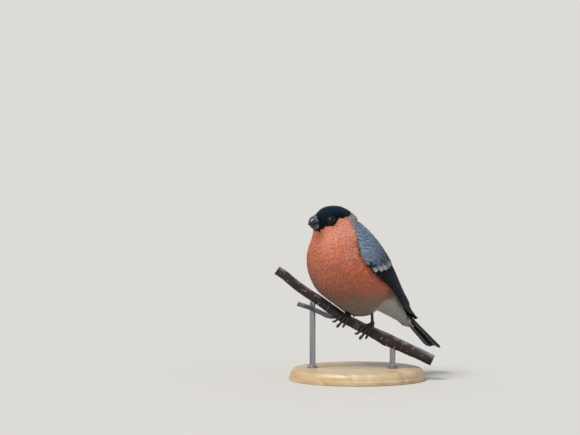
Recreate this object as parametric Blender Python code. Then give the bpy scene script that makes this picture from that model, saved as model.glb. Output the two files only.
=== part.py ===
"""A male bullfinch at life size, perched on a cut length of branch that a plain stand holds.

Sizes are in millimetres from the perch point, the middle of the branch near the feet. +X is the
bird's left, it faces -Y, and +Z is up. Objects are made in metres from the middle of the base.
"""

import math

import bmesh
import bpy
import numpy as np
from mathutils import Vector

MM = 0.001
GAP = 0.3
EDGE_ANGLE = math.radians(35)
MIRROR = np.array((-1.0, 1.0, 1.0))
PERCH_POINT = np.array((0.0, -4.0, 39.0))

# Body: level slices from belly to crown, each (height, middle y, half length behind, half
# width, half length ahead, squareness behind, squareness ahead). Under 2 is pointed.
BODY_ROWS = (
    (3.1, 6.4, 0.0, 0.0, 0.0, 2.0, 2.0),
    (3.5, 6.4, 4.6, 4.4, 4.6, 2.0, 2.0),
    (4.8, 6.3, 8.4, 8.0, 8.4, 2.0, 2.0),
    (7.2, 6.1, 12.2, 11.4, 12.2, 2.0, 2.0),
    (10.5, 5.4, 16.0, 14.9, 16.0, 2.0, 2.0),
    (14.5, 3.9, 20.3, 18.8, 20.3, 2.0, 2.0),
    (20.5, 1.2, 25.2, 23.4, 25.2, 2.0, 2.0),
    (27.0, -0.9, 28.0, 26.0, 28.0, 2.0, 2.0),
    (34.0, -2.6, 29.2, 27.4, 29.2, 2.0, 2.0),
    (41.0, -4.4, 28.8, 27.2, 28.8, 2.0, 2.0),
    (48.0, -6.2, 27.0, 25.4, 27.0, 2.0, 2.0),
    (54.0, -7.8, 24.0, 22.4, 24.0, 2.0, 2.0),
    (58.5, -9.0, 21.4, 19.4, 21.6, 2.1, 2.0),
    (62.5, -10.0, 19.2, 16.4, 21.6, 2.25, 1.9),
    (66.0, -11.2, 18.0, 13.8, 24.6, 2.35, 1.55),
    (69.5, -12.6, 17.2, 12.1, 25.0, 2.35, 1.5),
    (73.0, -14.6, 14.8, 11.0, 18.9, 2.35, 1.6),
    (76.4, -16.4, 12.0, 9.6, 12.3, 2.35, 1.9),
    (78.8, -16.8, 8.0, 6.6, 7.8, 2.2, 2.0),
    (79.9, -16.4, 4.2, 3.6, 4.2, 2.0, 2.0),
    (80.3, -16.4, 0.0, 0.0, 0.0, 2.0, 2.0),
)
BODY_SIDES = 26
BODY_ROWS_BETWEEN = 2
HEAD_TURN = math.radians(7)
HEAD_TURN_FROM = 56.0
HEAD_TURN_FULL = 67.0
HEAD_MIDDLE = np.array((0.0, -17.0))

# The back slopes down this steeply. Wings, rump and tail are laid out in its own measures:
# s runs down the slope, n stands out from it, both from the perch point.
BACK_SLOPE = math.radians(50)
ALONG = np.array((0.0, math.cos(BACK_SLOPE), -math.sin(BACK_SLOPE)))
OUT = np.array((0.0, math.sin(BACK_SLOPE), math.cos(BACK_SLOPE)))

# Rump and vent: sections down the slope, each (s, lowest n, highest n, half width).
RUMP_ROWS = (
    (-24.0, 6.0, 37.0, 14.0),
    (-10.0, 10.5, 41.2, 17.5),
    (0.0, 15.6, 40.8, 15.4),
    (9.0, 20.8, 40.0, 12.4),
    (19.0, 25.8, 37.6, 9.0),
    (29.0, 30.4, 36.2, 6.6),
    (35.0, 33.2, 36.4, 5.4),
    (38.5, 34.8, 36.6, 4.0),
)
RUMP_SIDES = 24

# Wings lie on one vault over the back. Each row is a section (s, middle n, rise, half width).
VAULT_ROWS = (
    (-54.0, 25.0, 20.6, 15.2),
    (-48.0, 23.6, 23.4, 21.4),
    (-40.0, 22.6, 25.0, 26.2),
    (-30.0, 22.4, 25.2, 28.6),
    (-18.0, 24.0, 22.8, 27.4),
    (-7.0, 27.2, 18.2, 23.4),
    (4.0, 30.6, 13.2, 18.4),
    (14.0, 33.6, 9.4, 14.2),
    (24.0, 36.0, 7.2, 10.8),
    (34.0, 37.8, 5.2, 8.8),
    (40.0, 38.4, 4.6, 8.4),
)

# Outlines on the vault: (s, inner edge, outer edge), the edges as degrees from the ridge.
SHOULDER_EDGES = (
    (-50.0, 46.0, 84.0),
    (-46.0, 36.0, 91.0),
    (-38.0, 30.0, 94.0),
    (-30.0, 26.0, 95.0),
    (-20.0, 20.6, 93.5),
)
FLIGHT_EDGES = (
    (-24.0, 22.4, 94.0),
    (-15.0, 16.0, 92.5),
    (-8.0, 9.4, 92.0),
    (2.0, 4.4, 94.0),
    (10.0, 4.4, 100.0),
    (16.0, 8.0, 105.0),
    (24.0, 20.0, 98.0),
    (32.5, 40.0, 72.0),
)
MANTLE_EDGES = (
    (-52.4, 60.0),
    (-50.0, 44.0),
    (-46.0, 34.0),
    (-38.0, 28.0),
    (-28.0, 23.0),
    (-20.0, 18.0),
    (-12.0, 11.0),
    (-6.0, 6.4),
    (0.0, 2.6),
)
WING_DEPTH = 2.4

# Outlines of a long and a short vane: shares of the way from root to tip, and how far the edges
# draw in there.
LONG_OUTLINE = ((0.0, 0.25), (0.35, 0.0), (0.72, 0.0), (0.92, 0.25), (1.0, 0.8))
SHORT_OUTLINE = ((0.0, 0.2), (0.5, 0.0), (0.84, 0.12), (1.0, 0.76))

SHOULDER_SINK = (0.3, 0.8)
FLIGHT_ROOT = -23.0

# Flight feathers from the ridge outward: (visible width, s of the tip). Three tertials, five
# secondaries and seven primaries, each partly under the one before it.
FLIGHT_VANES = (
    (4.5, 1.5),
    (4.5, 9.0),
    (3.5, 16.0),
    (2.6, 17.4),
    (2.6, 18.0),
    (2.6, 18.6),
    (2.6, 19.2),
    (2.6, 19.8),
    (1.5, 21.4),
    (1.5, 23.4),
    (1.5, 25.6),
    (1.5, 27.9),
    (1.5, 30.2),
    (1.5, 32.5),
)
FLIGHT_REACH = 1.9
FLIGHT_STEP = 0.34
FLIGHT_LIFT = (0.75, 0.3)
FLIGHT_THICK = (0.7, 0.5)

# Covert tiers of a wing, from the front: (s of root, s of tip, vanes, inner and outer share).
COVERT_TIERS = (
    (-46.0, -36.0, 4, 0.0, 1.0),
    (-40.0, -28.5, 6, 0.0, 0.97),
    (-32.0, -19.5, 7, 0.0, 0.86),
    (-34.0, -15.0, 3, 0.86, 1.0),
)
COVERT_STEP = 0.3
COVERT_LIFT = (0.5, 0.0)
COVERT_THICK = (0.6, 0.5)
COVERT_REACH = 1.4

# Mantle tiers on one side of the ridge: (s of root, s of tip, vanes a side).
MANTLE_TIERS = (
    (-50.0, -40.0, 3),
    (-43.0, -31.0, 3),
    (-34.0, -21.0, 2),
    (-24.0, -11.0, 2),
    (-14.0, -1.0, 1),
)
MANTLE_OVERLAP = 1.5

# Under-tail tiers: (s of root, s of tip, vanes), spread under the rump between two angles.
VENT_TIERS = (
    (10.0, 21.0, 4),
    (17.0, 29.0, 4),
    (24.0, 38.0, 3),
)
VENT_SPREAD = (205.0, 335.0)
VENT_LIFT = (0.9, -0.25)
VENT_THICK = (0.9, 0.5)

# Tail: its middle line in s and n, and twelve feathers, the middle pair on top.
TAIL_ROOT = (22.0, 36.2)
TAIL_TIP = (62.8, 41.9)
TAIL_THICK = 2.4
TAIL_PAIRS = 6
TAIL_FEATHER_WIDTH = 5.6
TAIL_ROOT_SPREAD = 7.6
TAIL_TIP_SPREAD = 12.8
TAIL_NOTCH = 0.9
TAIL_STEP = 0.32
TAIL_VANE_THICK = 0.62
TAIL_VANE_LIFT = (0.12, 0.2)
UPPER_TAIL_REACH = 13.0
UPPER_TAIL_SPREAD = (-0.8, 4.8)
UPPER_TAIL_LIFT = (0.4, -0.45)

# Head: bill, eyes, given along the way the head looks, from its middle.
BILL_TIP = (23.0, 67.2)
BILL_ROOT_FORWARD = 16.6
GAPE_HEIGHT = 69.2
BILL_WIDTH = 8.8
UPPER_BILL_DEPTH = 4.5
LOWER_BILL_DEPTH = 4.3
LOWER_BILL_SHORTER = 1.6
BILL_BULGE = (2.2, 0.62)
BILL_TAPER = (1.7, 0.75)
BILL_HOOK = 0.65
BILL_HOOK_FROM = 0.86
BILL_STEPS = 9
BILL_SIDES = 12
EYE_FORWARD = 9.1
EYE_OUT = 6.8
EYE_HEIGHT = 70.5
EYE_RADIUS = 2.5
EYE_SIDES = (14, 9)
LID_OPENING = math.radians(62)
LID_LIFT = 0.45
LID_THICK = 0.5
LID_LEAN = math.radians(32)
LID_SIDES = (13, 5)
SOCKET_SIDES = 18
NOSTRIL_RADIUS = 0.55
NOSTRIL_PLACE = (0.9, 2.9, 3.0)

# Cuts that part the body, each a point and the way its plane faces, in y and z.
HEAD_CUT = (-10.0, 63.6)
HEAD_CUT_LEAN = math.radians(-24)
NECK_CUT = (-6.0, 55.4)
NECK_CUT_LEAN = math.radians(-20)
RUMP_CUT = 6.0
CUT_REACH = 200.0

# Perch: its run in plan and its height, and the thickness, from the upper end to the lower.
PERCH_HEADING = math.radians(50)
PERCH_ROWS = (
    (-51.0, 35.2, 3.1),
    (-45.6, 31.4, 3.1),
    (-35.4, 23.2, 3.2),
    (-21.9, 14.2, 3.3),
    (-8.4, 4.5, 3.4),
    (0.0, -0.2, 3.4),
    (11.8, -6.0, 3.6),
    (21.9, -10.9, 4.2),
    (32.1, -15.5, 4.0),
    (45.6, -21.7, 3.8),
    (54.0, -25.6, 3.8),
)
PERCH_SIDES = 16
# The side twig has a fourth measure: how far it stands to the front of the perch's middle.
TWIG_ROWS = (
    (-37.0, 13.0, 1.5, 6.4),
    (-28.7, 10.3, 1.6, 5.2),
    (-21.9, 7.1, 1.6, 3.4),
    (-15.5, 4.2, 1.7, 1.2),
    (-10.5, 4.6, 1.8, 0.0),
)
TWIG_SIDES = 10

# Feet: where each shank meets the perch, the shank's top under the belly, and the toes.
FOOT_PLACES = {"left": 11.0, "right": -4.2}
SHANK_RADIUS = 1.05
SHANK_TOPS = {"left": (7.4, 10.6, 10.0), "right": (-4.4, 1.2, 14.0)}
TOE_RADIUS = 0.95
KNUCKLE_RADIUS = 1.6
# Toes, each (name, degrees round the perch, sideways spread at its end, looseness at its end).
TOES = (
    ("inner", 138.0, 3.4, 1.32),
    ("middle", 156.0, 0.0, 1.62),
    ("outer", 138.0, -3.4, 1.36),
    ("hind", -112.0, 0.4, 1.10),
)
TOE_LEAN = -3.0
CLAW_SWEEP = 58.0
CLAW_RADIUS = 0.72
CLAW_TIP_RADIUS = 0.16

# Stand: a round base and two rods.
BASE_RADIUS = 46.0
BASE_THICK = 8.0
BASE_EDGE = 1.2
BASE_SIDES = 48
ROD_RADIUS = 2.0
ROD_SIDES = 16
ROD_PLACES = (-27.0, 27.0)


def colour(hexadecimal):
    """A material colour from its sRGB hex value."""
    parts = [int(hexadecimal[i : i + 2], 16) / 255 for i in (0, 2, 4)]
    linear = [c / 12.92 if c <= 0.04045 else ((c + 0.055) / 1.055) ** 2.4 for c in parts]
    return (*linear, 1.0)


def material(name, hexadecimal, roughness, metallic=0.0):
    made = bpy.data.materials.new(name)
    made.use_nodes = True
    shader = made.node_tree.nodes["Principled BSDF"]
    shader.inputs["Base Color"].default_value = colour(hexadecimal)
    shader.inputs["Roughness"].default_value = roughness
    shader.inputs["Metallic"].default_value = metallic
    made.diffuse_color = colour(hexadecimal)
    return made


def smooth_rows(rows, between):
    """Rows on a smooth curve through the given ones, with extra rows between each two."""
    rows = np.asarray(rows, float)
    out = []
    for i in range(len(rows) - 1):
        before = rows[max(i - 1, 0)]
        start = rows[i]
        end = rows[i + 1]
        after = rows[min(i + 2, len(rows) - 1)]
        for k in range(between):
            t = k / between
            slope_in = (end - before) / 2
            slope_out = (after - start) / 2
            out.append(
                (2 * t**3 - 3 * t**2 + 1) * start
                + (t**3 - 2 * t**2 + t) * slope_in
                + (3 * t**2 - 2 * t**3) * end
                + (t**3 - t**2) * slope_out
            )
    out.append(rows[-1])
    return np.array(out)


def row_at(rows, where):
    """Each measure of the rows at one place along their first column, eased between rows."""
    rows = np.asarray(rows, float)
    return np.array([np.interp(where, rows[:, 0], rows[:, k]) for k in range(1, rows.shape[1])])


def slope_point(s, n, x=0.0):
    """A point from its measures down the back's slope."""
    return ALONG * s + OUT * n + np.array((x, 0.0, 0.0))


def loft(rings):
    """Points and faces of a closed skin over rings of equal count. A single point closes an end."""
    points = []
    starts = []
    for ring in rings:
        starts.append(len(points))
        points.extend(np.atleast_2d(ring))
    faces = []
    for i in range(len(rings) - 1):
        here = len(np.atleast_2d(rings[i]))
        there = len(np.atleast_2d(rings[i + 1]))
        count = max(here, there)
        for k in range(count):
            a = starts[i] + k % here
            b = starts[i] + (k + 1) % here
            c = starts[i + 1] + (k + 1) % there
            d = starts[i + 1] + k % there
            corners = list(dict.fromkeys((a, b, c, d)))
            faces.append(corners)
    for i, flip in ((0, True), (len(rings) - 1, False)):
        count = len(np.atleast_2d(rings[i]))
        if count > 1:
            cap = [starts[i] + k for k in range(count)]
            faces.append(cap[::-1] if flip else cap)
    return np.array(points), faces


def new_object(name, points, faces):
    """A mesh object from points in millimetres from the perch point."""
    mesh = bpy.data.meshes.new(name)
    placed = (np.asarray(points) + PERCH_POINT) * MM
    mesh.from_pydata([Vector(p) for p in placed], [], faces)
    made = bpy.data.objects.new(name, mesh)
    bpy.context.scene.collection.objects.link(made)
    box = bmesh.new()
    box.from_mesh(mesh)
    bmesh.ops.recalc_face_normals(box, faces=box.faces)
    box.to_mesh(mesh)
    box.free()
    return made


def apply_modifiers(target):
    """Turns the object's modifiers into its own mesh."""
    graph = bpy.context.evaluated_depsgraph_get()
    applied = bpy.data.meshes.new_from_object(target.evaluated_get(graph))
    target.modifiers.clear()
    target.data = applied


def keep_largest(target):
    """Leaves only the closed surface with the most volume."""
    box = bmesh.new()
    box.from_mesh(target.data)
    left = set(box.verts)
    groups = []
    while left:
        grown = {left.pop()}
        edge = list(grown)
        while edge:
            vert = edge.pop()
            for link in vert.link_edges:
                other = link.other_vert(vert)
                if other in left:
                    left.discard(other)
                    grown.add(other)
                    edge.append(other)
        groups.append(grown)

    def size(group):
        total = 0.0
        for face in {f for v in group for f in v.link_faces}:
            corners = [v.co for v in face.verts]
            for k in range(1, len(corners) - 1):
                total += corners[0].cross(corners[k]).dot(corners[k + 1])
        return abs(total)

    best = max(groups, key=size)
    bmesh.ops.delete(box, geom=[v for g in groups if g is not best for v in g], context="VERTS")
    box.to_mesh(target.data)
    box.free()


def boolean(target, others, operation, solver="EXACT"):
    """Joins, cuts or keeps the target with closed meshes, which are then removed."""
    group = bpy.data.collections.new("operands")
    for other in others:
        bpy.context.scene.collection.objects.unlink(other)
        group.objects.link(other)
    bpy.context.scene.collection.children.link(group)
    step = target.modifiers.new(operation.lower(), "BOOLEAN")
    step.operation = operation
    step.operand_type = "COLLECTION"
    step.collection = group
    step.solver = solver
    bpy.context.view_layer.update()
    apply_modifiers(target)
    for other in others:
        bpy.data.objects.remove(other)
    bpy.data.collections.remove(group)
    keep_largest(target)
    return target


def finish(target, look):
    """Gives the object its material, and smooth shading but at its edges."""
    target.data.materials.clear()
    target.data.materials.append(look)
    target.data.shade_smooth()
    target.data.set_sharp_from_angle(angle=EDGE_ANGLE)


def slab_cutter(point, facing):
    """A wide thick block on one side of a plane. It lies on the side that the vector faces."""
    side = np.array((1.0, 0.0, 0.0))
    up = np.cross(facing, side)
    rings = []
    for shift in (0.0, CUT_REACH):
        corners = ((-1, -1), (1, -1), (1, 1), (-1, 1))
        middle = point + facing * shift
        rings.append([middle + (side * a + up * b) * CUT_REACH for a, b in corners])
    return loft(rings)


def body_ring(height, middle, behind, width, ahead, square_behind, square_ahead):
    """One level slice, its front half and back half shaped apart, turned the way the head looks."""
    if width < 0.01:
        return turned(np.array([[0.0, middle, height]]), height)
    ring = []
    for angle in np.arange(BODY_SIDES) * 2 * math.pi / BODY_SIDES:
        across = math.cos(angle)
        along = math.sin(angle)
        length = behind if along > 0 else ahead
        power = 2 / (square_behind if along > 0 else square_ahead)
        x = math.copysign(abs(across) ** power, across) * width
        y = math.copysign(abs(along) ** power, along) * length
        ring.append((x, middle + y, height))
    return turned(np.array(ring), height)


def turned(points, height):
    share = np.clip((height - HEAD_TURN_FROM) / (HEAD_TURN_FULL - HEAD_TURN_FROM), 0, 1)
    angle = HEAD_TURN * share * share * (3 - 2 * share)
    away = points[:, :2] - HEAD_MIDDLE
    spun = np.stack(
        [
            away[:, 0] * math.cos(angle) - away[:, 1] * math.sin(angle),
            away[:, 0] * math.sin(angle) + away[:, 1] * math.cos(angle),
        ],
        axis=1,
    )
    return np.column_stack([spun + HEAD_MIDDLE, points[:, 2]])


def head_point(forward, left, height):
    """A point given along the way the head looks."""
    flat = np.array([[left, HEAD_MIDDLE[1] - forward, height]])
    return turned(flat, HEAD_TURN_FULL)[0]


def vault_point(s, degrees, depth=0.0):
    """A point on the vault over the back, at degrees from its ridge, sunk by depth."""
    middle, rise, width = row_at(VAULT_SMOOTH, s)
    angle = math.radians(degrees)
    shape = np.array((width * math.sin(angle), rise * math.cos(angle)))
    normal = np.array((math.sin(angle) / width, math.cos(angle) / rise))
    shape -= normal / np.linalg.norm(normal) * depth
    return slope_point(s, middle + shape[1], shape[0])


VAULT_SMOOTH = smooth_rows(VAULT_ROWS, 5)
FLIGHT_SMOOTH = smooth_rows(FLIGHT_EDGES, 4)
SHOULDER_SMOOTH = smooth_rows(SHOULDER_EDGES, 4)
MANTLE_SMOOTH = smooth_rows(MANTLE_EDGES, 4)
RUMP_SMOOTH = smooth_rows(RUMP_ROWS, 4)


def vault_slab(edges, top, under, steps, across):
    """A bent slab on the vault between two edges. top and under give depths at each share of s."""
    edges = smooth_rows(edges, steps)
    rings = []
    for s, inner, outer in edges:
        share = (s - edges[0, 0]) / (edges[-1, 0] - edges[0, 0])
        angles = np.linspace(inner, outer, across)
        over = [vault_point(s, a, top(share)) for a in angles]
        below = [vault_point(s, a, under(share)) for a in angles[::-1]]
        rings.append(np.array(over + below))
    return loft(rings)


def vane_form(sections):
    """A thin closed vane. Both faces of each length are split the same way."""
    faces = []
    for i in range(len(sections) - 1):
        a = 4 * i
        b = a + 4
        for k in range(4):
            here = k
            there = (k + 1) % 4
            if k == 2:
                faces.append((a + here, a + there, b + here))
                faces.append((a + there, b + there, b + here))
            else:
                faces.append((a + here, a + there, b + there))
                faces.append((a + here, b + there, b + here))
    last = 4 * (len(sections) - 1)
    faces.append((0, 1, 2, 3))
    faces.append((last + 3, last + 2, last + 1, last))
    return np.concatenate(sections), faces


def tier(surface, strips, tips, root, across, reach, step, lift, thick, outline):
    """Vanes side by side over a surface, each partly under the next.

    surface(s, angle, depth) places a point and across(s) gives the tier's inner and outer angle.
    """
    ends = np.concatenate([[0.0], np.cumsum(strips)]) / np.sum(strips)
    forms = []
    for k, tip in enumerate(tips, 1):
        sections = []
        for share, draw in outline:
            s = root + (tip - root) * share
            inner, outer = across(s)
            high = k
            low = k - reach
            middle = high - 0.42 * reach
            low += (middle - 0.04 * reach - low) * draw
            high += (middle + 0.04 * reach - high) * draw
            place = np.interp([low, high], np.arange(len(ends)), ends)
            angles = inner + (outer - inner) * place
            top = lift[0] + (lift[1] - lift[0]) * share
            depths = top + step * (k - np.array([low, high]))
            body = thick[0] + (thick[1] - thick[0]) * share
            corners = (
                surface(s, angles[0], depths[0]),
                surface(s, angles[1], depths[1]),
                surface(s, angles[1], depths[1] + body),
                surface(s, angles[0], depths[0] + body),
            )
            sections.append(np.array(corners))
        forms.append(vane_form(sections))
    return forms


def mirrored_forms(forms):
    return [(points * MIRROR, faces) for points, faces in forms]


def fused(name, forms, look):
    """One closed body from overlapping closed forms."""
    pieces = [new_object(name, *form) for form in forms]
    finish(boolean(pieces[0], pieces[1:], "UNION", "MANIFOLD"), look)


def make_flesh():
    """Head, neck, torso and rump: one smooth form, pocketed for the wings and parted by cuts."""
    rows = smooth_rows(BODY_ROWS, BODY_ROWS_BETWEEN)
    whole = new_object("torso", *loft([body_ring(*row) for row in rows]))
    rings = []
    angles = np.arange(RUMP_SIDES) * 2 * math.pi / RUMP_SIDES
    for s, low, high, width in smooth_rows(RUMP_ROWS, 2):
        middle = (low + high) / 2
        half = (high - low) / 2
        ring = [slope_point(s, middle + half * math.sin(a), width * math.cos(a)) for a in angles]
        rings.append(np.array(ring))
    rump = new_object("rump_form", *loft(rings))
    boolean(whole, [rump], "UNION")
    cutters = [new_object("wing_pocket", *wing_pocket()), new_object("perch_room", *perch_room())]
    cutters.append(new_object("tail_room", *tail_room()))
    for side in FOOT_PLACES:
        for form in foot_parts(side, GAP + 0.1) + [shank_form(side, GAP)]:
            cutters.append(new_object("leg_room", *form))
    boolean(whole, cutters, "DIFFERENCE")
    return part_by_cuts(whole)


def wing_pocket():
    """Room for the wings and mantle: all that lies outside the vault's inner face."""
    start = MANTLE_EDGES[0]
    edges = [(start[0] - 0.5, -start[1] - 2.0, start[1] + 2.0)]
    edges += [(s, -outer - 2.0, outer + 2.0) for s, inner, outer in SHOULDER_EDGES[:-1]]
    edges += [(s, -outer - 2.0, outer + 2.0) for s, inner, outer in FLIGHT_EDGES]
    edges += [(40.0, -80.0, 80.0)]
    return vault_slab(edges, lambda t: -9.0, lambda t: WING_DEPTH + 2 * GAP, 1, 20)


def perch_room():
    rows = smooth_rows(PERCH_ROWS, 3)
    rows[:, 2] += GAP + 0.2
    return loft(tube_rings(rows))


def tail_room():
    """Room behind and above the tail's under face, so that under-tail feathers stay below it."""
    start = slope_point(TAIL_ROOT[0] - GAP, 0.0)
    lean = np.array(TAIL_TIP) - np.array(TAIL_ROOT)
    lean /= np.linalg.norm(lean)
    rings = []
    for s, across in ((TAIL_ROOT[0] - GAP, 30.0), (TAIL_TIP[0] + 5, 30.0)):
        low = TAIL_ROOT[1] + (s - TAIL_ROOT[0]) * lean[1] / lean[0] - TAIL_THICK / 2 - GAP
        corners = ((-across, low), (across, low), (across, low + 30), (-across, low + 30))
        rings.append(np.array([slope_point(s, n, x) for x, n in corners]))
    return loft(rings)


def part_by_cuts(whole):
    """Cuts the whole into named lengths that face each other across the gap."""
    planes = {
        "head": (np.array((0.0, *HEAD_CUT)), level_facing(HEAD_CUT_LEAN)),
        "neck": (np.array((0.0, *NECK_CUT)), level_facing(NECK_CUT_LEAN)),
        "rump": (slope_point(RUMP_CUT, 0.0), ALONG),
    }
    keep = {
        "head": (("head", 1),),
        "neck": (("head", -1), ("neck", 1)),
        "torso": (("neck", -1), ("rump", -1)),
        "rump": (("rump", 1),),
    }
    pieces = {}
    for name, cuts in keep.items():
        pieces[name] = whole.copy()
        pieces[name].data = whole.data.copy()
        bpy.context.scene.collection.objects.link(pieces[name])
        cutters = []
        for plane, way in cuts:
            point, facing = planes[plane]
            slab = slab_cutter(point + facing * way * GAP / 2, -facing * way)
            cutters.append(new_object("cutter", *slab))
        boolean(pieces[name], cutters, "DIFFERENCE")
    bpy.data.objects.remove(whole)
    for name, piece in pieces.items():
        piece.name = name
    return pieces


def level_facing(lean):
    """Upward, leaned to the back or the front."""
    return np.array((0.0, math.sin(lean), math.cos(lean)))


def tube_rings(rows, sides=PERCH_SIDES):
    """Rings along the perch's heading from (distance in plan, height, radius, any step forward)."""
    plan = np.array((math.cos(PERCH_HEADING), math.sin(PERCH_HEADING), 0.0))
    side = np.array((math.sin(PERCH_HEADING), -math.cos(PERCH_HEADING), 0.0))
    slopes = np.gradient(rows[:, 1], rows[:, 0])
    angles = np.arange(sides) * 2 * math.pi / sides
    rings = []
    for row, slope in zip(rows, slopes):
        run, height, radius = row[:3]
        forward = row[3] if len(row) > 3 else 0.0
        up = np.array((0.0, 0.0, 1.0)) - plan * slope
        up /= np.linalg.norm(up)
        middle = plan * run + np.array((0.0, 0.0, height)) + side * forward
        rings.append([middle + radius * (side * math.cos(a) + up * math.sin(a)) for a in angles])
    return np.array(rings)


def perch_at(run):
    """The middle, radius and downhill direction of the perch at one distance in plan."""
    height, radius = row_at(smooth_rows(PERCH_ROWS, 4), run)
    ahead = row_at(smooth_rows(PERCH_ROWS, 4), run + 1.0)[0]
    plan = np.array((math.cos(PERCH_HEADING), math.sin(PERCH_HEADING), 0.0))
    along = plan + np.array((0.0, 0.0, ahead - height))
    along /= np.linalg.norm(along)
    return plan * run + np.array((0.0, 0.0, height)), radius, along


def bent_tube(points, radii, sides=7):
    """A closed tube through points, its rings square to the way it runs."""
    points = np.asarray(points, float)
    ways = np.gradient(points, axis=0)
    side = np.cross(ways[0], (0.3, 0.2, 1.0))
    rings = []
    for point, way, radius in zip(points, ways, radii):
        way = way / np.linalg.norm(way)
        side = side - way * side.dot(way)
        side /= np.linalg.norm(side)
        other = np.cross(way, side)
        angles = np.arange(sides) * 2 * math.pi / sides
        rings.append([point + radius * (side * math.cos(a) + other * math.sin(a)) for a in angles])
    return loft(np.array(rings))


def make_wing(name, look, mirrored):
    """One folded wing: the shoulder, tiers of coverts, tertials, secondaries and primaries."""

    def flight_edges(s):
        return row_at(FLIGHT_SMOOTH, s)

    forms = [
        vault_slab(
            SHOULDER_EDGES,
            lambda t: SHOULDER_SINK[0] + (SHOULDER_SINK[1] - SHOULDER_SINK[0]) * t,
            lambda t: WING_DEPTH - 0.6 * t,
            1,
            7,
        )
    ]
    strips = [width for width, tip in FLIGHT_VANES]
    tips = [tip for width, tip in FLIGHT_VANES]
    forms += tier(
        vault_point, strips, tips, FLIGHT_ROOT, flight_edges, FLIGHT_REACH, FLIGHT_STEP,
        FLIGHT_LIFT, FLIGHT_THICK, LONG_OUTLINE,
    )
    for root, tip, count, start, end in COVERT_TIERS:

        def edges(s, start=start, end=end):
            inner, outer = row_at(SHOULDER_SMOOTH, s)
            return inner + (outer - inner) * start, inner + (outer - inner) * end

        forms += tier(
            vault_point, [1.0] * count, [tip] * count, root, edges, COVERT_REACH, COVERT_STEP,
            COVERT_LIFT, COVERT_THICK, SHORT_OUTLINE,
        )
    if mirrored:
        forms = mirrored_forms(forms)
    fused(name, forms, look)


def make_mantle(look):
    """The feathers between the wings, in tiers that lie down the back."""
    edges = [(s, -edge, edge) for s, edge in MANTLE_EDGES]
    forms = [vault_slab(edges, lambda t: 0.3, lambda t: WING_DEPTH - 0.6 * t, 1, 9)]

    def half_edges(s):
        return -MANTLE_OVERLAP, row_at(MANTLE_SMOOTH, s)[0]

    for root, tip, count in MANTLE_TIERS:
        half = tier(
            vault_point, [1.0] * count, [tip] * count, root, half_edges, COVERT_REACH, COVERT_STEP,
            COVERT_LIFT, COVERT_THICK, SHORT_OUTLINE,
        )
        forms += half + mirrored_forms(half)
    fused("mantle", forms, look)


def rump_point(s, degrees, depth):
    """A point on the rump's own surface, sunk by depth."""
    low, high, width = row_at(RUMP_SMOOTH, s)
    angle = math.radians(degrees)
    middle = (low + high) / 2
    half = (high - low) / 2
    shape = np.array((width * math.cos(angle), half * math.sin(angle)))
    normal = np.array((math.cos(angle) / width, math.sin(angle) / half))
    shape -= normal / np.linalg.norm(normal) * depth
    return slope_point(s, middle + shape[1], shape[0])


def add_vent_feathers(rump):
    """Tiers of loose feathers under the rump, the last one over the root of the tail."""
    forms = []
    for root, tip, count in VENT_TIERS:
        forms += tier(
            rump_point, [1.0] * count, [tip] * count, root, lambda s: VENT_SPREAD, 1.4, 0.3,
            VENT_LIFT, VENT_THICK, SHORT_OUTLINE,
        )
    vanes = [new_object("vent_vane", *form) for form in forms]
    return boolean(rump, vanes, "UNION", "MANIFOLD")


def tail_point(s, x, depth):
    """A point on the tail's top face, sunk by depth."""
    slope = (TAIL_TIP[1] - TAIL_ROOT[1]) / (TAIL_TIP[0] - TAIL_ROOT[0])
    top = TAIL_ROOT[1] + (s - TAIL_ROOT[0]) * slope + TAIL_THICK / 2
    return slope_point(s, top - depth, x)


def make_tail(look):
    """The folded tail: twelve long feathers in a narrow fan, and short ones over their roots."""
    forms = []
    length = TAIL_TIP[0] - TAIL_ROOT[0]
    for pair in range(TAIL_PAIRS):
        place = (pair + 0.5) / TAIL_PAIRS
        reach = length - TAIL_NOTCH * (1 - place) ** 1.5
        if pair == TAIL_PAIRS - 1:
            reach -= 0.8
        sections = []
        for share, draw in LONG_OUTLINE:
            s = TAIL_ROOT[0] + reach * share
            middle = place * (TAIL_ROOT_SPREAD + (TAIL_TIP_SPREAD - TAIL_ROOT_SPREAD) * share) / 2
            half = TAIL_FEATHER_WIDTH * (0.72 + 0.28 * share) * (1 - 0.8 * draw) / 2
            inner, outer = (TAIL_STEP * pair + lift for lift in TAIL_VANE_LIFT)
            body = TAIL_VANE_THICK * (1 - 0.25 * share)
            corners = (
                tail_point(s, middle - half, inner),
                tail_point(s, middle + half, outer),
                tail_point(s, middle + half, outer + body),
                tail_point(s, middle - half, inner + body),
            )
            sections.append(np.array(corners))
        forms.append(vane_form(sections))
    forms += tier(
        tail_point, [1.0, 1.0], [TAIL_ROOT[0] + UPPER_TAIL_REACH] * 2, TAIL_ROOT[0],
        lambda s: UPPER_TAIL_SPREAD, COVERT_REACH, COVERT_STEP, UPPER_TAIL_LIFT, VENT_THICK,
        SHORT_OUTLINE,
    )
    fused("tail", forms + mirrored_forms(forms), look)


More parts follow.
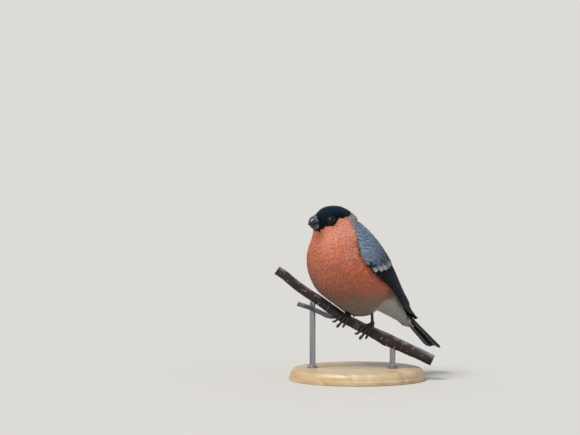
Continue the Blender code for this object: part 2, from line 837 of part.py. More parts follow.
def half_bill(length, depth, hook):
    """One half of the bill from root to tip: its flat side at the gape, round above or below."""
    drop = GAPE_HEIGHT - BILL_TIP[1] - 0.6
    way = math.copysign(1, depth)
    rings = []
    for t in np.linspace(0.0, 1.0, BILL_STEPS):
        base = GAPE_HEIGHT - drop * t * t + way * GAP / 2
        bulge = max(1 - t**BILL_BULGE[0], 0.02) ** BILL_BULGE[1]
        width = BILL_WIDTH / 2 * max(1 - t**BILL_TAPER[0], 0.015) ** BILL_TAPER[1]
        sink = hook * max(t - BILL_HOOK_FROM, 0) / (1 - BILL_HOOK_FROM)
        ring = []
        for angle in np.linspace(0.0, math.pi, BILL_SIDES):
            rise = depth * bulge * math.sin(angle) ** 0.9 - sink
            ring.append(head_point(BILL_ROOT_FORWARD + length * t, width * math.cos(angle), base + rise))
        rings.append(np.array(ring))
    return loft(rings)


def make_bill(look):
    """Upper and lower bill: short, deep and round, the upper hooked a little over the lower."""
    length = BILL_TIP[0] - BILL_ROOT_FORWARD
    upper = new_object("upper_bill", *half_bill(length, UPPER_BILL_DEPTH, BILL_HOOK))
    forward, out, rise = NOSTRIL_PLACE
    nostrils = []
    for side in (1, -1):
        place = head_point(BILL_ROOT_FORWARD + forward, side * out, GAPE_HEIGHT + rise)
        nostrils.append(new_object("nostril", *ball_form(place, NOSTRIL_RADIUS, 7, 5)))
    finish(boolean(upper, nostrils, "DIFFERENCE"), look)
    lower = half_bill(length - LOWER_BILL_SHORTER, -LOWER_BILL_DEPTH, 0.0)
    finish(new_object("lower_bill", *lower), look)


def eye_middle(side):
    return head_point(EYE_FORWARD, side * EYE_OUT, EYE_HEIGHT)


def make_eyes(look):
    """Eyes as smooth balls set in the head's eye cups."""
    for name, side in (("eye_left", 1), ("eye_right", -1)):
        finish(new_object(name, *ball_form(eye_middle(side), EYE_RADIUS, *EYE_SIDES)), look)


def lid_form(side):
    """A ring of lid round one eye, facing out and a little forward."""
    forward = EYE_FORWARD + math.sin(LID_LEAN)
    out = head_point(forward, side * (EYE_OUT + math.cos(LID_LEAN)), EYE_HEIGHT) - eye_middle(side)
    up = np.array((0.0, 0.0, 1.0))
    ahead = np.cross(up, out)
    distance = EYE_RADIUS + LID_LIFT
    middle = eye_middle(side) + out * distance * math.cos(LID_OPENING)
    around, sides = LID_SIDES
    points = []
    faces = []
    for i in range(around):
        turn = 2 * math.pi * i / around
        away = up * math.sin(turn) + ahead * math.cos(turn)
        for k in range(sides):
            angle = 2 * math.pi * k / sides
            reach = distance * math.sin(LID_OPENING) + LID_THICK * math.cos(angle)
            points.append(middle + away * reach + out * LID_THICK * math.sin(angle))
            a = i * sides + k
            b = i * sides + (k + 1) % sides
            c = (i + 1) % around * sides + (k + 1) % sides
            d = (i + 1) % around * sides + k
            faces.append((a, b, c, d))
    return np.array(points), faces


def make_head_details(head):
    """Lids, eye cups and the socket that the bill's root sits in."""
    lids = [new_object("lid", *lid_form(side)) for side in (1, -1)]
    boolean(head, lids, "UNION")
    cutters = []
    for side in (1, -1):
        cup = ball_form(eye_middle(side), EYE_RADIUS + GAP, *EYE_SIDES)
        cutters.append(new_object("eye_cup", *cup))
    socket = []
    angles = np.arange(SOCKET_SIDES) * 2 * math.pi / SOCKET_SIDES
    for forward in (BILL_ROOT_FORWARD - GAP, BILL_TIP[0] + 4.0):
        ring = []
        for angle in angles:
            tall = UPPER_BILL_DEPTH if math.sin(angle) > 0 else LOWER_BILL_DEPTH
            across = (BILL_WIDTH / 2 + GAP) * math.cos(angle)
            rise = (tall + 2 * GAP) * math.sin(angle)
            ring.append(head_point(forward, across, GAPE_HEIGHT + rise))
        socket.append(np.array(ring))
    cutters.append(new_object("bill_socket", *loft(socket)))
    return boolean(head, cutters, "DIFFERENCE")


def foot_frame(side):
    """The perch's middle, radius and directions under one foot: up, to the front, and along."""
    middle, radius, along = perch_at(FOOT_PLACES[side])
    up = np.array((0.0, 0.0, 1.0)) - along * along[2]
    up /= np.linalg.norm(up)
    return middle, radius, up, np.cross(along, up), along


def toe_path(side, sweep, spread, loose, start, end, count):
    """Points round the perch from one share of a toe's sweep to another."""
    middle, radius, up, front, along = foot_frame(side)
    hand = 1 if side == "left" else -1
    path = []
    for share in np.linspace(start, end, count):
        angle = math.radians(sweep * share)
        ring = (radius + GAP + TOE_RADIUS) * (1 + (loose - 1) * min(share, 1.0) ** 2)
        if share > 1:
            ring -= (share - 1) * 2.6
        reach = min(share, 1.2)
        shift = TOE_LEAN * reach * math.copysign(1, sweep) + hand * spread * reach**0.8
        path.append(middle + ring * (up * math.cos(angle) + front * math.sin(angle)) + along * shift)
    return path


def foot_parts(side, grow=0.0):
    """The toes and the knuckle that joins them, as closed forms."""
    middle, radius, up, front, along = foot_frame(side)
    forms = []
    for toe, sweep, spread, loose in TOES:
        path = toe_path(side, sweep, spread, loose, 0.0, 1.0, 8)
        radii = [TOE_RADIUS * (1.08 - 0.2 * share) + grow for share in np.linspace(0, 1, 8)]
        forms.append(bent_tube(path, radii))
    knuckle = middle + up * (radius + GAP + KNUCKLE_RADIUS)
    forms.append(ball_form(knuckle, KNUCKLE_RADIUS + grow))
    return forms


def ball_form(middle, radius, around=10, high=7):
    """A round form of rings between two poles."""
    rings = [np.array([middle + np.array((0.0, 0.0, -radius))])]
    for k in range(1, high):
        angle = -math.pi / 2 + math.pi * k / high
        turn = np.arange(around) * 2 * math.pi / around
        flat = radius * math.cos(angle)
        rise = np.full(around, radius * math.sin(angle))
        rings.append(middle + np.stack([flat * np.cos(turn), flat * np.sin(turn), rise], axis=1))
    rings.append(np.array([middle + np.array((0.0, 0.0, radius))]))
    return loft(rings)


def shank_form(side, grow=0.0):
    """The bare shank from the knuckle up into the belly feathers."""
    middle, radius, up, front, along = foot_frame(side)
    joint = middle + up * (radius + GAP + KNUCKLE_RADIUS)
    top = np.array(SHANK_TOPS[side])
    way = (top - joint) / np.linalg.norm(top - joint)
    start = joint + way * (KNUCKLE_RADIUS + GAP)
    path = [start + (top - start) * share for share in np.linspace(0.0, 1.0, 5)]
    return bent_tube(path, [SHANK_RADIUS * swell + grow for swell in (1.05, 0.95, 0.92, 0.98, 1.1)])


def make_legs(looks):
    """Shanks, feet and claws. Three toes go over the front of the perch and one behind."""
    for side in FOOT_PLACES:
        finish(new_object(f"shank_{side}", *shank_form(side)), looks["leg"])
        forms = [new_object(f"foot_{side}", *form) for form in foot_parts(side)]
        finish(boolean(forms[0], forms[1:], "UNION"), looks["leg"])
        for toe, sweep, spread, loose in TOES:
            start = 1.0 + (GAP + 0.1) / (math.radians(abs(sweep)) * 5)
            path = toe_path(side, sweep, spread, loose, start, 1.0 + CLAW_SWEEP / abs(sweep), 6)
            radii = np.linspace(CLAW_RADIUS, CLAW_TIP_RADIUS, 6)
            finish(new_object(f"claw_{side}_{toe}", *bent_tube(path, radii, 6)), looks["claw"])


def make_perch(look):
    """The cut branch with the start of the side twig that grows from under it."""
    perch = new_object("perch", *loft(tube_rings(smooth_rows(PERCH_ROWS, 2))))
    twig = new_object("twig", *loft(tube_rings(smooth_rows(TWIG_ROWS, 1), TWIG_SIDES)))
    finish(boolean(perch, [twig], "UNION"), look)


def level_ring(middle, radius, height, sides):
    """A level circle of points round an upright line."""
    angles = np.arange(sides) * 2 * math.pi / sides
    flat = (middle[0] + radius * np.cos(angles), middle[1] + radius * np.sin(angles))
    return np.column_stack([*flat, np.full(sides, height)])


def make_stand(base_look, rod_look):
    """A flat round base and two rods that reach up to the perch."""
    floor = -PERCH_POINT[2]
    outline = (
        (BASE_RADIUS - BASE_EDGE, 0.0),
        (BASE_RADIUS, BASE_EDGE),
        (BASE_RADIUS, BASE_THICK - BASE_EDGE),
        (BASE_RADIUS - BASE_EDGE, BASE_THICK),
    )
    rings = [level_ring(-PERCH_POINT, r, floor + h, BASE_SIDES) for r, h in outline]
    finish(new_object("stand_base", *loft(rings)), base_look)
    for number, run in enumerate(ROD_PLACES, 1):
        middle, radius, along = perch_at(run)
        slope = abs(along[2]) / math.hypot(along[0], along[1])
        top = middle[2] - radius * math.hypot(1.0, slope) - GAP - ROD_RADIUS * slope
        heights = (floor + BASE_THICK + GAP, top)
        rings = [level_ring(middle, ROD_RADIUS, height, ROD_SIDES) for height in heights]
        finish(new_object(f"stand_rod_{number}", *loft(rings)), rod_look)


def main():
    for old in list(bpy.data.objects):
        bpy.data.objects.remove(old)
    looks = {
        "cap": material("glossy_black_cap_feather", "0c0f1c", 0.45),
        "breast": material("salmon_breast_feather", "c8694c", 0.8),
        "rump": material("white_rump_and_vent_feather", "d8d6cc", 0.85),
        "mantle": material("blue_grey_mantle_feather", "66758f", 0.75),
        "flight": material("blue_black_flight_feather", "11131d", 0.45),
        "bill": material("dark_horn_bill", "1d1f27", 0.35),
        "eye": material("dark_eye", "0b0706", 0.05),
        "leg": material("dark_brown_leg_scale", "2a1e1b", 0.5),
        "claw": material("black_horn_claw", "17120f", 0.4),
        "bark": material("reddish_brown_bark", "3b2726", 0.7),
        "base": material("pale_maple_base", "c9b08a", 0.45),
        "rod": material("satin_steel_rod", "9a9a9c", 0.35, 1.0),
    }
    flesh = make_flesh()
    add_vent_feathers(flesh["rump"])
    make_head_details(flesh["head"])
    finish(flesh["head"], looks["cap"])
    finish(flesh["neck"], looks["breast"])
    finish(flesh["torso"], looks["breast"])
    finish(flesh["rump"], looks["rump"])
    make_wing("wing_left", looks["flight"], False)
    make_wing("wing_right", looks["flight"], True)
    make_mantle(looks["mantle"])
    make_tail(looks["flight"])
    make_bill(looks["bill"])
    make_eyes(looks["eye"])
    make_legs(looks)
    make_perch(looks["bark"])
    make_stand(looks["base"], looks["rod"])


main()
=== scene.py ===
import math

import bmesh
import bpy
import numpy as np
from mathutils import Matrix, Vector
from mathutils.bvhtree import BVHTree


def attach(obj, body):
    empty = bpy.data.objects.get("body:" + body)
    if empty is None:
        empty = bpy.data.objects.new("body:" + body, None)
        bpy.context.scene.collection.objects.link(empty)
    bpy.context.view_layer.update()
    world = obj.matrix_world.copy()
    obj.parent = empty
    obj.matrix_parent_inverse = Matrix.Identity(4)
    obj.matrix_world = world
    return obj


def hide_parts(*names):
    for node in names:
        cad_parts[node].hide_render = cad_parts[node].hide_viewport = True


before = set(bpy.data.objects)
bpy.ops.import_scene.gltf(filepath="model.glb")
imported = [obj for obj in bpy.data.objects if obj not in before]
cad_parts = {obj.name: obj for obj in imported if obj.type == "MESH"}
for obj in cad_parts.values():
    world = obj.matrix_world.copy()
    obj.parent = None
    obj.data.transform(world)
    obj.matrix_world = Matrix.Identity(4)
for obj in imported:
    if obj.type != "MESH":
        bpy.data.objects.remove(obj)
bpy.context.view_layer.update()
print("frame loaded")

# Lengths below are in millimetres from the middle of the perch near the feet.
# +X is the bird's left, it faces -Y, and +Z is up.
mm = 0.001
perchPoint = np.array((0.0, -4.0, 39.0))
mirror = np.array((-1.0, 1.0, 1.0))

# The back slopes down: s runs down the slope and n stands out from it.
backSlope = math.radians(50)
downBack = np.array((0.0, math.cos(backSlope), -math.sin(backSlope)))
outOfBack = np.array((0.0, math.sin(backSlope), math.cos(backSlope)))


def linear(code):  # an sRGB hex colour as linear values
    shares = [int(code[i : i + 2], 16) / 255 for i in (0, 2, 4)]
    return np.array([c / 12.92 if c <= 0.04045 else ((c + 0.055) / 1.055) ** 2.4 for c in shares])


def ease(low, high, value):  # 0 below low, 1 above high, smooth between
    share = np.clip((np.asarray(value, float) - low) / (high - low), 0.0, 1.0)
    return share * share * (3 - 2 * share)


def blend(one, other, share):  # mixes two colours by a share for each point
    return one * (1 - share[..., None]) + other * share[..., None]


def unit(vectors):
    return vectors / np.maximum(np.linalg.norm(vectors, axis=-1, keepdims=True), 1e-9)


def gapTo(points, place):
    return np.linalg.norm(points - place, axis=-1)


def turnsRound(sides):  # as many turns, evenly round a circle
    return np.arange(sides) * 2 * math.pi / sides


def mottle(points, size, seed):  # smooth patches about -1 to 1, each about size wide
    draw = np.random.default_rng(seed)
    total = np.zeros(len(points))
    for _ in range(7):
        way = unit(draw.normal(size=3))
        total += np.sin(points @ way * 2 * math.pi / (size * draw.uniform(0.7, 1.5)) + draw.uniform(0, 6.28))
    return total / 1.9


def smoothRows(rows, between):  # extra rows on a smooth curve through the given ones
    rows = np.asarray(rows, float)
    slopes = np.gradient(rows, axis=0)
    shares = np.arange(between)[:, None] / between
    out = []
    for start, end, slopeIn, slopeOut in zip(rows, rows[1:], slopes, slopes[1:]):
        t = shares
        out.append(
            (2 * t**3 - 3 * t**2 + 1) * start + (t**3 - 2 * t**2 + t) * slopeIn
            + (3 * t**2 - 2 * t**3) * end + (t**3 - t**2) * slopeOut
        )
    return np.concatenate(out + [rows[-1:]])


def rowAt(rows, where):  # every measure of the rows at these places along their first column
    return [np.interp(where, rows[:, 0], rows[:, k]) for k in range(1, rows.shape[1])]


def slopePoint(s, n, x):
    s, n, x = np.broadcast_arrays(s, n, x)
    flat = s[..., None] * downBack + n[..., None] * outOfBack
    flat[..., 0] += x
    return flat


# Materials

def addNode(tree, kind, links=None, stops=None, **settings):
    node = tree.nodes.new("ShaderNode" + kind)
    for name, value in settings.items():
        setattr(node, name, value)
    for socket, value in (links or {}).items():
        if isinstance(value, bpy.types.NodeSocket):
            tree.links.new(value, node.inputs[socket])
        else:
            node.inputs[socket].default_value = value
    for k, (place, code) in enumerate(stops or ()):
        ramp = node.color_ramp.elements
        stop = ramp[k] if k < 2 else ramp.new(place)
        stop.position = place
        stop.color = (*linear(code), 1.0)
    return node


def patternScale(*sizes):  # a pattern's scale from its sizes in mm, one for each axis or one for all
    scales = [1 / (size * mm) for size in sizes]
    return scales if len(scales) > 1 else scales[0]


def newMaterial(name, sockets):
    made = bpy.data.materials.new(name)
    made.use_nodes = True
    tree = made.node_tree
    shader = tree.nodes["Principled BSDF"]
    for socket, value in sockets.items():
        shader.inputs[socket].default_value = value
    return made, tree, shader


def dress(tree, shader, colour, bump):  # the last links of a material
    tree.links.new(colour, shader.inputs["Base Color"])
    tree.links.new(bump.outputs["Normal"], shader.inputs["Normal"])


def plumageMaterial(name, sockets, barbSize, barbDepth, shade):
    # Keratin barbs: each point's own colour, its pigment with painted shade and sheen laid over it in places,
    # gives the base, and fine bump breaks up the shine.
    made, tree, shader = newMaterial(name, sockets)
    paint = addNode(tree, "Attribute", attribute_name="pigment_and_painted_light")
    place = addNode(tree, "TexCoord")
    grain = addNode(
        tree, "TexNoise", {"Vector": place.outputs["Object"], "Scale": patternScale(barbSize), "Detail": 2.0}
    )
    light = addNode(
        tree, "MapRange",
        {"Value": grain.outputs["Fac"], "From Min": 0.3, "From Max": 0.7, "To Min": 1 - shade,
         "To Max": 1 + shade},
    )
    tone = addNode(
        tree, "VectorMath", {0: paint.outputs["Color"], "Scale": light.outputs["Result"]}, operation="SCALE"
    )
    bump = addNode(
        tree, "Bump", {"Height": grain.outputs["Fac"], "Distance": barbDepth * mm, "Strength": 0.7}
    )
    dress(tree, shader, tone.outputs["Vector"], bump)
    return made


def vaneMaterial(name, sockets, barbSpacing, barbDepth, shade):
    # A firm vane: fine barbs slant from the quill, read from the vane's own map.
    made, tree, shader = newMaterial(name, sockets)
    paint = addNode(tree, "Attribute", attribute_name="pigment_and_painted_light")
    place = addNode(tree, "UVMap", uv_map="vane")
    split = addNode(tree, "SeparateXYZ", {"Vector": place.outputs["UV"]})
    aside = addNode(tree, "Math", {0: split.outputs["X"]}, operation="ABSOLUTE")
    lean = addNode(tree, "Math", {0: aside.outputs["Value"], 1: 1.1}, operation="MULTIPLY")
    along = addNode(tree, "Math", {0: split.outputs["Y"], 1: lean.outputs["Value"]}, operation="SUBTRACT")
    line = addNode(
        tree, "Math", {0: along.outputs["Value"], 1: 2 * math.pi / barbSpacing}, operation="MULTIPLY"
    )
    wave = addNode(tree, "Math", {0: line.outputs["Value"]}, operation="SINE")
    wear = addNode(tree, "TexNoise", {"Vector": place.outputs["UV"], "Scale": 0.9, "Detail": 3.0})
    mixed = addNode(
        tree, "Math", {0: wave.outputs["Value"], 1: 0.5, 2: wear.outputs["Fac"]}, operation="MULTIPLY_ADD"
    )
    light = addNode(
        tree, "MapRange",
        {"Value": mixed.outputs["Value"], "From Min": 0.0, "From Max": 1.0, "To Min": 1 - shade,
         "To Max": 1 + shade},
    )
    tone = addNode(
        tree, "VectorMath", {0: paint.outputs["Color"], "Scale": light.outputs["Result"]}, operation="SCALE"
    )
    bump = addNode(
        tree, "Bump", {"Height": mixed.outputs["Value"], "Distance": barbDepth * mm, "Strength": 0.6}
    )
    dress(tree, shader, tone.outputs["Vector"], bump)
    return made


# Soft body feather, unpreened and matt: barbs scatter light, so the edges look velvety.
# Its barbs, and those of the feathers below, are drawn a few times coarser than life, to show.
softPlumage = plumageMaterial(
    "loose_webbed_body_feather",
    {"Roughness": 0.9, "Sheen Weight": 0.25, "Sheen Roughness": 0.45, "IOR": 1.54, "Specular IOR Level": 0.2},
    barbSize=0.35, barbDepth=0.05, shade=0.10,
)
# Cap feather, dense and flattened: black with a silky blue gloss.
capPlumage = plumageMaterial(
    "glossy_cap_feather",
    {"Roughness": 0.45, "IOR": 1.54, "Specular IOR Level": 0.22, "Specular Tint": (0.35, 0.6, 1.0, 1.0)},
    barbSize=0.30, barbDepth=0.03, shade=0.15,
)
# Wing covert and scapular: half-firm webs with a bloom that keeps them matt.
covertPlumage = vaneMaterial(
    "powdery_covert_feather", {"Roughness": 0.75, "IOR": 1.54, "Specular IOR Level": 0.2},
    barbSpacing=0.42, barbDepth=0.035, shade=0.16,
)
# Flight feather: tight zipped barbs over dark pigment give a dark blue gloss.
flightPlumage = vaneMaterial(
    "glossy_flight_feather",
    {"Roughness": 0.42, "IOR": 1.54, "Specular IOR Level": 0.22, "Specular Tint": (0.5, 0.65, 1.0, 1.0)},
    barbSpacing=0.45, barbDepth=0.03, shade=0.22,
)


# Meshes

def makePiece(name, points, faceSets, material):
    # faceSets holds arrays of faces, each array with its own count of corners.
    faceSets = [np.asarray(f, np.int64) for f in faceSets if len(f)]
    mesh = bpy.data.meshes.new(name)
    placed = ((np.asarray(points, float).reshape(-1, 3) + perchPoint) * mm).astype(np.float32)
    mesh.vertices.add(len(placed))
    mesh.vertices.foreach_set("co", placed.ravel())
    corners = np.concatenate([f.ravel() for f in faceSets]).astype(np.int32)
    mesh.loops.add(len(corners))
    mesh.loops.foreach_set("vertex_index", corners)
    counts = np.concatenate([np.full(len(f), f.shape[1]) for f in faceSets])
    starts = np.concatenate([[0], np.cumsum(counts)[:-1]]).astype(np.int32)
    mesh.polygons.add(len(counts))
    mesh.polygons.foreach_set("loop_start", starts)
    mesh.update(calc_edges=True)
    mesh.validate()
    mesh.shade_smooth()
    made = bpy.data.objects.new(name, mesh)
    made.data.materials.append(material)
    bpy.context.scene.collection.objects.link(made)
    return made


def paintPiece(piece, colours):  # one linear colour for each point
    layer = piece.data.color_attributes.new("pigment_and_painted_light", "FLOAT_COLOR", "POINT")
    full = np.ones((len(piece.data.vertices), 4), np.float32)
    full[:, :3] = colours
    layer.data.foreach_set("color", full.ravel())


def mapPiece(piece, name, places):  # a UV map from one place for each point
    layer = piece.data.uv_layers.new(name=name)
    corners = np.empty(len(piece.data.loops), np.int32)
    piece.data.loops.foreach_get("vertex_index", corners)
    layer.data.foreach_set("uv", np.asarray(places, np.float32)[corners].ravel())


def settle(piece, slot, *nodes):  # every piece hangs from the root and hides the frame's parts it replaces
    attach(piece, "root")
    if nodes:
        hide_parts(*nodes)
    return piece


def gridFaces(rows, columns, closed=False):  # quads over a grid of points, row by row
    across = columns if closed else columns - 1
    i, k = np.meshgrid(np.arange(rows - 1), np.arange(across), indexing="ij")
    a = i * columns + k
    b = i * columns + (k + 1) % columns
    return np.stack([a, b, b + columns, a + columns], axis=-1).reshape(-1, 4)


def endFans(rows, columns, start=0):  # triangles that close a tube's ends to their middles
    one = np.arange(columns)
    other = (one + 1) % columns
    middle = np.full(columns, start + rows * columns)
    last = start + (rows - 1) * columns
    return [
        np.stack([other + start, one + start, middle], axis=1),
        np.stack([one + last, other + last, middle + 1], axis=1),
    ]


def loftPiece(name, rings, material):
    # A closed tube over rings of equal count, its open ends filled by fans to their middles.
    rings = np.asarray(rings, float)
    rows, columns = rings.shape[:2]
    points = np.vstack([rings.reshape(-1, 3), rings[[0, -1]].mean(axis=1)])
    made = makePiece(name, points, [gridFaces(rows, columns, True), *endFans(rows, columns)], material)
    fixNormals(made)
    return made


def paintLoft(piece, tones, middle=None):  # colours for a loft's rings and the middles of its ends
    flat = tones.reshape(-1, 3)
    ends = flat[:2] if middle is None else np.tile(middle, (2, 1))
    paintPiece(piece, np.vstack([flat, ends]))


def fixNormals(piece):
    box = bmesh.new()
    box.from_mesh(piece.data)
    bmesh.ops.recalc_face_normals(box, faces=box.faces)
    box.to_mesh(piece.data)
    box.free()


# The head's own measures: forward, left and up, turned a little to the bird's left.
head = {
    "turn": math.radians(7),
    "middleY": -17.0,
    "billRoot": (16.6, 0.0, 69.2),
    "eye": (9.1, 6.8, 70.5),
    "eyeRadius": 2.5,
}


def headPoint(forward, left, height):
    forward, left, height = np.broadcast_arrays(forward, left, height)
    x = left * math.cos(head["turn"]) + forward * math.sin(head["turn"])
    y = head["middleY"] + left * math.sin(head["turn"]) - forward * math.cos(head["turn"])
    return np.stack([x, y, height], axis=-1).astype(float)


def headMeasures(points):
    x = points[..., 0]
    y = points[..., 1] - head["middleY"]
    left = x * math.cos(head["turn"]) + y * math.sin(head["turn"])
    forward = x * math.sin(head["turn"]) - y * math.cos(head["turn"])
    return forward, left, points[..., 2]


billRoot = headPoint(*head["billRoot"])
eyeMiddles = {side: headPoint(head["eye"][0], hand * head["eye"][1], head["eye"][2])
              for side, hand in (("left", 1), ("right", -1))}

# Markings of a male: black cap and bib, salmon cheek to belly, blue-grey back, white behind. Painted light
# lies over them: painted shade darkens the underparts downward, and a painted sheen blues the top of the cap.
markingsAndPaintedLight = {
    "capBorder": (  # forward and height of the cap's lower edge, from the nape to the chin
        (-12.0, 79.0), (-9.6, 76.0), (-8.0, 73.8), (-4.0, 72.6), (-0.8, 72.0), (3.2, 71.5),
        (5.2, 70.4), (6.3, 68.2), (8.2, 67.0), (10.6, 66.6), (12.8, 66.2), (13.9, 65.2), (14.2, 64.0),
        (13.8, 62.2), (13.8, 61.0), (17.0, 60.0),
    ),
    "capSoftness": 0.4,
    "cap": "05060a",
    # painted sheen: a blue laid on the top of the cap, where light from above would shine on it
    "capPaintedSheen": "0b2036",
    "rim": "f08a58",
    "cheek": "ec9c82",
    "breast": "d27a5b",
    # painted shade in part: the lower breast is painted darker than the upper, for light from above
    "shadedMidBreast": "b4603f",
    "flank": "c66236",
    # painted shade in part: the belly, and below it the grey-white toward the vent, are painted darker, for
    # light from above
    "belly": "84584a",
    "shadedLowBelly": "756c60",
    "vent": "b2b3a9",
    "nape": "958793",
    "back": "7588a0",
    "palePatch": "d0a092",
    "palePatchAt": (22.6, -18.4, 47.5),
    # Where each colour begins and where it is full: by height, or as its name says by how far it
    # lies outward, backward, along the back's slope, forward on the head or from its own edge.
    "breastRise": (32.0, 52.0),
    "cheekRise": (50.0, 66.0),
    "flankOutward": (14.0, 24.0),
    "flankBackward": (-28.0, -8.0),
    "flankFall": (62.0, 46.0),
    "bellyFall": (36.0, 17.0),
    "lowBellyFall": (19.0, 9.0),
    "ventAlong": (-2.0, 5.0),
    "ventFall": (44.0, 34.0),
    "palePatchReach": (7.0, 0.0),
    "rimReach": (3.0, 0.8),
    "rimForward": (-6.0, -1.0),
    "napeForward": (-3.0, -8.0),
    "napeRise": (54.0, 60.0),
    "backForward": (-9.5, -13.5),
    "backRise": (30.0, 40.0),
    "paintedSheenRise": (72.5, 77.5),
    "paintedSheenForward": (-9.0, -4.0),
}


def besideLine(line, x, y):  # signed distance from a line of points, positive on its left
    line = np.asarray(line, float)
    best = np.full(np.shape(x), 1e9)
    sign = np.ones(np.shape(x))
    for start, end in zip(line, line[1:]):
        way = end - start
        long = np.hypot(*way)
        t = np.clip(((x - start[0]) * way[0] + (y - start[1]) * way[1]) / long**2, 0, 1)
        offX = x - start[0] - way[0] * t
        offY = y - start[1] - way[1] * t
        gap = np.hypot(offX, offY)
        side = way[0] * (y - start[1]) - way[1] * (x - start[0])
        nearer = gap < best
        best = np.where(nearer, gap, best)
        sign = np.where(nearer, np.sign(side), sign)
    return best * sign


def capShare(points):  # how much a place belongs to the black cap, mask and bib
    forward, left, height = headMeasures(points)
    edge = besideLine(markingsAndPaintedLight["capBorder"], forward, height) + 0.25 * mottle(points, 3.0, 5)
    return ease(-markingsAndPaintedLight["capSoftness"], markingsAndPaintedLight["capSoftness"], edge) * ease(58.0, 60.0, height)


def plumageColour(points):
    tone = {name: linear(code) for name, code in markingsAndPaintedLight.items() if isinstance(code, str)}
    forward, left, height = headMeasures(points)
    s = points @ downBack
    patches = mottle(points, 15.0, 11)
    height = height + 2.2 * patches
    # From the cheek down to the belly the colour darkens, in part as painted shade for light from above.
    paint = blend(tone["shadedMidBreast"], tone["breast"], ease(*markingsAndPaintedLight["breastRise"], height))
    paint = blend(paint, tone["cheek"], ease(*markingsAndPaintedLight["cheekRise"], height))
    side = ease(*markingsAndPaintedLight["flankOutward"], np.abs(points[:, 0]))
    side = side * ease(*markingsAndPaintedLight["flankBackward"], points[:, 1])
    paint = blend(paint, tone["flank"], side * ease(*markingsAndPaintedLight["flankFall"], height))
    low = 1 - 0.5 * side
    # painted shade in part: the belly painted darker, less on the flanks
    paint = blend(paint, tone["belly"], ease(*markingsAndPaintedLight["bellyFall"], height) * low * 0.9)
    fromPatch = np.linalg.norm(points - np.array(markingsAndPaintedLight["palePatchAt"]), axis=1)
    fromPatch = fromPatch + 2.0 * mottle(points, 4.0, 23)
    paint = blend(paint, tone["palePatch"], 0.45 * ease(*markingsAndPaintedLight["palePatchReach"], fromPatch))
    # painted shade in part: the low belly's grey-white, painted dark
    paint = blend(paint, tone["shadedLowBelly"], ease(*markingsAndPaintedLight["lowBellyFall"], height))
    behind = ease(*markingsAndPaintedLight["ventAlong"], s + 1.3 * patches)
    high = points[:, 2]  # the plain height, without the patches' sway
    paint = blend(paint, tone["vent"], behind * ease(*markingsAndPaintedLight["ventFall"], high))
    edge = np.abs(besideLine(markingsAndPaintedLight["capBorder"], forward, high))
    rim = ease(*markingsAndPaintedLight["rimReach"], edge) * ease(*markingsAndPaintedLight["rimForward"], forward)
    paint = blend(paint, tone["rim"], 0.75 * rim)
    nape = ease(*markingsAndPaintedLight["napeForward"], forward + 0.8 * patches) * ease(*markingsAndPaintedLight["napeRise"], high)
    paint = blend(paint, tone["nape"], 0.85 * nape)
    back = ease(*markingsAndPaintedLight["backForward"], forward + 0.6 * patches) * ease(*markingsAndPaintedLight["backRise"], high)
    paint = blend(paint, tone["back"], back * (1 - behind))
    # painted sheen: blue on the top of the crown, in front of the nape
    paintedSheen = ease(*markingsAndPaintedLight["paintedSheenRise"], high) * ease(*markingsAndPaintedLight["paintedSheenForward"], forward) * 0.8
    cap = blend(tone["cap"], tone["capPaintedSheen"], paintedSheen)
    return blend(paint, cap, capShare(points))


# Skin: the flesh nodes and a low core under the wings, made one and drawn in by the coat's depth.
skin = {
    "voxel": 0.75,  # mm
    "swell": 0.25,  # mm, so that the lengths of the body meet
    "smoothing": 8,
    "depthFromBill": ((0.0, 0.35), (5.0, 0.45), (14.0, 0.7), (30.0, 0.95)),
    "nodes": ("head", "neck", "torso", "rump"),
    "napeAt": -52.5,  # mm down the back's slope
    "napeLong": 3.2,
    "napeSmoothing": 60,
    "coreDepths": (1.9, 5.0),  # mm under the wing feathers' outer face
    "besideEye": 0.2,
}

vaultRows = smoothRows((  # sections over the folded wings: s, middle n, rise, half width
    (-54.0, 25.0, 20.6, 15.2), (-48.0, 23.6, 23.4, 21.4), (-40.0, 22.6, 25.0, 26.2),
    (-30.0, 22.4, 25.2, 28.6), (-18.0, 24.0, 22.8, 27.4), (-7.0, 27.2, 18.2, 23.4),
    (4.0, 30.6, 13.2, 18.4), (14.0, 33.6, 9.4, 14.2), (24.0, 36.0, 7.2, 10.8),
    (34.0, 37.8, 5.2, 8.8), (40.0, 38.4, 4.6, 8.4),
), 5)


def vaultPoint(s, degrees, depth):  # a place on the folded wings, at degrees from the ridge
    s, degrees, depth = np.broadcast_arrays(s, degrees, depth)
    middle, rise, width = rowAt(vaultRows, s)
    angle = np.radians(degrees)
    x = width * np.sin(angle)
    n = rise * np.cos(angle)
    towardX = np.sin(angle) / width
    towardN = np.cos(angle) / rise
    long = np.hypot(towardX, towardN)
    return slopePoint(s, middle + n - towardN / long * depth, x - towardX / long * depth)


def vaultMeasures(points):  # s, degrees from the ridge and depth below the vault, roughly
    s = points @ downBack
    n = points @ outOfBack
    middle, rise, width = rowAt(vaultRows, s)
    across = points[..., 0] / width
    up = (n - middle) / rise
    depth = (1 - np.hypot(across, up)) * (rise + width) / 2
    return s, np.degrees(np.arctan2(across, up)), depth


def backCore():  # the closed slab that fills the hollow under the wing feathers
    rows = np.linspace(-51.0, 6.0, 20)
    angles = np.linspace(-90.0, 90.0, 31)
    rings = []
    for s in rows:
        over = vaultPoint(s, angles, skin["coreDepths"][0])
        under = vaultPoint(s, angles[::-1], skin["coreDepths"][1])
        rings.append(np.concatenate([over, under]))
    return loftPiece("back_core", rings, softPlumage)


